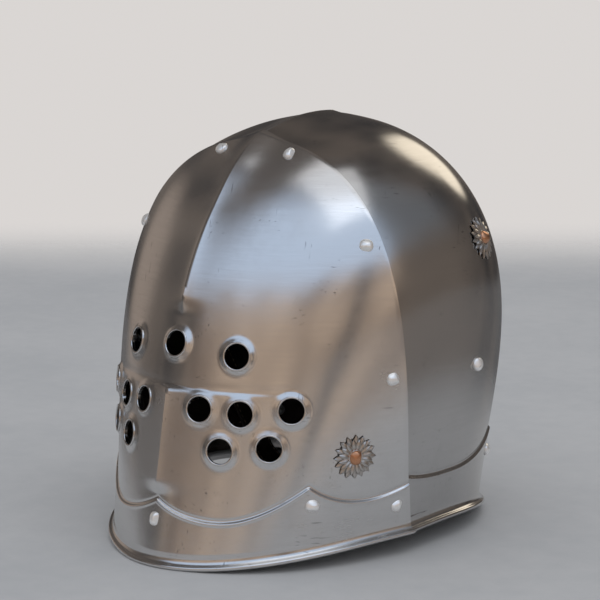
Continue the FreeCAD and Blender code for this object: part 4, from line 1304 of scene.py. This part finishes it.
for node in ("seam_rivet_burrs", "border_rivet_burrs", "rosette_rivet_burrs", "strap_washers"):
    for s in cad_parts[node].material_slots:
        s.material = BURR_STEEL

# ---------------------------------------------------------------------------
# Studio
# ---------------------------------------------------------------------------
VIEW_WAY = (-0.641, 0.7675, 0.0)
EYE = (0.810, -0.9659, 0.366)

floor_mesh = bpy.data.meshes.new("studio_floor")
floor_mesh.from_pydata([(-9, -9, 0), (9, -9, 0), (9, 9, 0), (-9, 9, 0)], [], [(0, 1, 2, 3)])
ground, t, shader = material("grey table top")
at = t.add("NewGeometry").outputs["Position"]
away = t.add("VectorMath", {"operation": "SUBTRACT"}, i0=at, i1=EYE).outputs[0]
far = t.add("VectorMath", {"operation": "DOT_PRODUCT"}, i0=away, i1=VIEW_WAY).outputs["Value"]
mottle = t.math("ADD", t.noise(at, 5.0, 4.0, 0.6), t.math("MULTIPLY", t.noise(at, 60.0, 3.0, 0.6), 0.5))
tone = t.blend(t.span(mottle, 0.45, 1.05), (0.40, 0.41, 0.42, 1), (0.455, 0.46, 0.465, 1))
t.feed(shader, "Base Color", tone)
seen = t.span(far, 2.2, 2.75, 1.0, 0.0)
near = t.span(t.add("VectorMath", {"operation": "LENGTH"}, i0=at).outputs["Value"], 0.2, 0.5, 1.0, 0.22)
glint = t.add("LightPath").outputs["Is Glossy Ray"]
shown = t.math("ADD", t.math("SUBTRACT", 1.0, glint), t.math("MULTIPLY", glint, near))
t.feed(shader, "Alpha", t.math("MULTIPLY", seen, shown))
shader.inputs["Roughness"].default_value = 0.6
floor_mesh.materials.append(ground)
floor = bpy.data.objects.new("studio_floor", floor_mesh)
bpy.context.scene.collection.objects.link(floor)

world = bpy.data.worlds.new("studio")
bpy.context.scene.world = world
world.use_nodes = True
t = Tree(world.node_tree)
background = world.node_tree.nodes["Background"]
way = t.add("TexCoord").outputs["Generated"]
split = t.add("SeparateXYZ", None, Vector=way)
height = split.outputs["Z"]
path = t.add("LightPath")


def glow(sky, toward, wide, tight, colour):
    """Soft patch of light seen in one direction of the room."""
    toward = tuple(np.array(toward) / np.linalg.norm(toward))
    facing = t.add("VectorMath", {"operation": "DOT_PRODUCT"}, i0=way, i1=toward).outputs["Value"]
    return t.blend(t.span(facing, wide, tight), sky, (*colour, 1))


turn = t.math("ARCTAN2", split.outputs["Y"], split.outputs["X"])
drift = t.noise(way, 2.4, 4.0, 0.6)
level = t.math("ADD", height, t.math("MULTIPLY_ADD", t.noise(way, 5.0, 3.0, 0.6), 0.3, -0.15))


def sector(start, end, soft):
    """Mask of the directions between two compass angles."""
    rise = t.span(turn, start - soft, start + soft)
    return t.math("MULTIPLY", rise, t.span(turn, end - soft, end + soft, 1.0, 0.0))


room = t.blend(t.span(drift, 0.36, 0.64), (0.035, 0.034, 0.036, 1), (0.15, 0.125, 0.108, 1))
street = t.blend(t.span(drift, 0.38, 0.62), (0.2, 0.15, 0.12, 1), (0.6, 0.46, 0.35, 1))
street = t.blend(sector(-0.56, -0.44, 0.03), street, (0.1, 0.088, 0.085, 1))
open_sky = t.blend(t.span(height, 0.82, 0.97), (0.62, 0.75, 0.96, 1), (0.1, 0.11, 0.14, 1))
front = t.blend(t.span(level, 0.36, 0.5), street, open_sky)
room = t.blend(sector(-2.0, 0.35, 0.22), room, front)
shade = t.blend(t.span(level, 0.3, 0.6), (0.2, 0.165, 0.14, 1), (0.22, 0.235, 0.26, 1))
room = t.blend(t.math("MULTIPLY", sector(0.3, 0.95, 0.2), 0.8), room, shade)
room = glow(room, (-0.08, 0.85, 0.5), 0.955, 0.98, (1.6, 1.42, 1.15))
room = glow(room, (-0.95, 0.1, 0.12), 0.95, 0.99, (0.34, 0.28, 0.24))
room = t.blend(t.span(height, -0.3, -0.5), room, (0.3, 0.295, 0.29, 1))
room = t.blend(path.outputs["Is Glossy Ray"], (0.86, 0.87, 0.9, 1), room)
t.feed(background, "Color", t.blend(path.outputs["Is Camera Ray"], room, (0.70, 0.672, 0.655, 1)))
background.inputs["Strength"].default_value = 1.0


def lamp(name, place, aim, size, power, colour):
    data = bpy.data.lights.new(name, "AREA")
    data.shape, data.size, data.size_y = "RECTANGLE", size[0], size[1]
    data.energy, data.color = power, colour
    obj = bpy.data.objects.new(name, data)
    bpy.context.scene.collection.objects.link(obj)
    obj.location = place
    obj.rotation_euler = (Vector(aim) - Vector(place)).to_track_quat("-Z", "Y").to_euler()


lamp("soft_top", (0.5, -0.2, 1.9), (0, 0, 0.1), (1.4, 1.4), 5, (0.95, 0.97, 1.0))

camera = bpy.data.cameras.new("camera")
camera.lens, camera.sensor_width = 117.8, 36.0
view = bpy.data.objects.new("camera", camera)
bpy.context.scene.collection.objects.link(view)
view.location = EYE
aim = Vector((-0.0106, 0.0167, 0.142))
view.rotation_euler = (aim - view.location).to_track_quat("-Z", "Y").to_euler()
bpy.context.scene.camera = view

bpy.context.scene.view_settings.view_transform = "Standard"
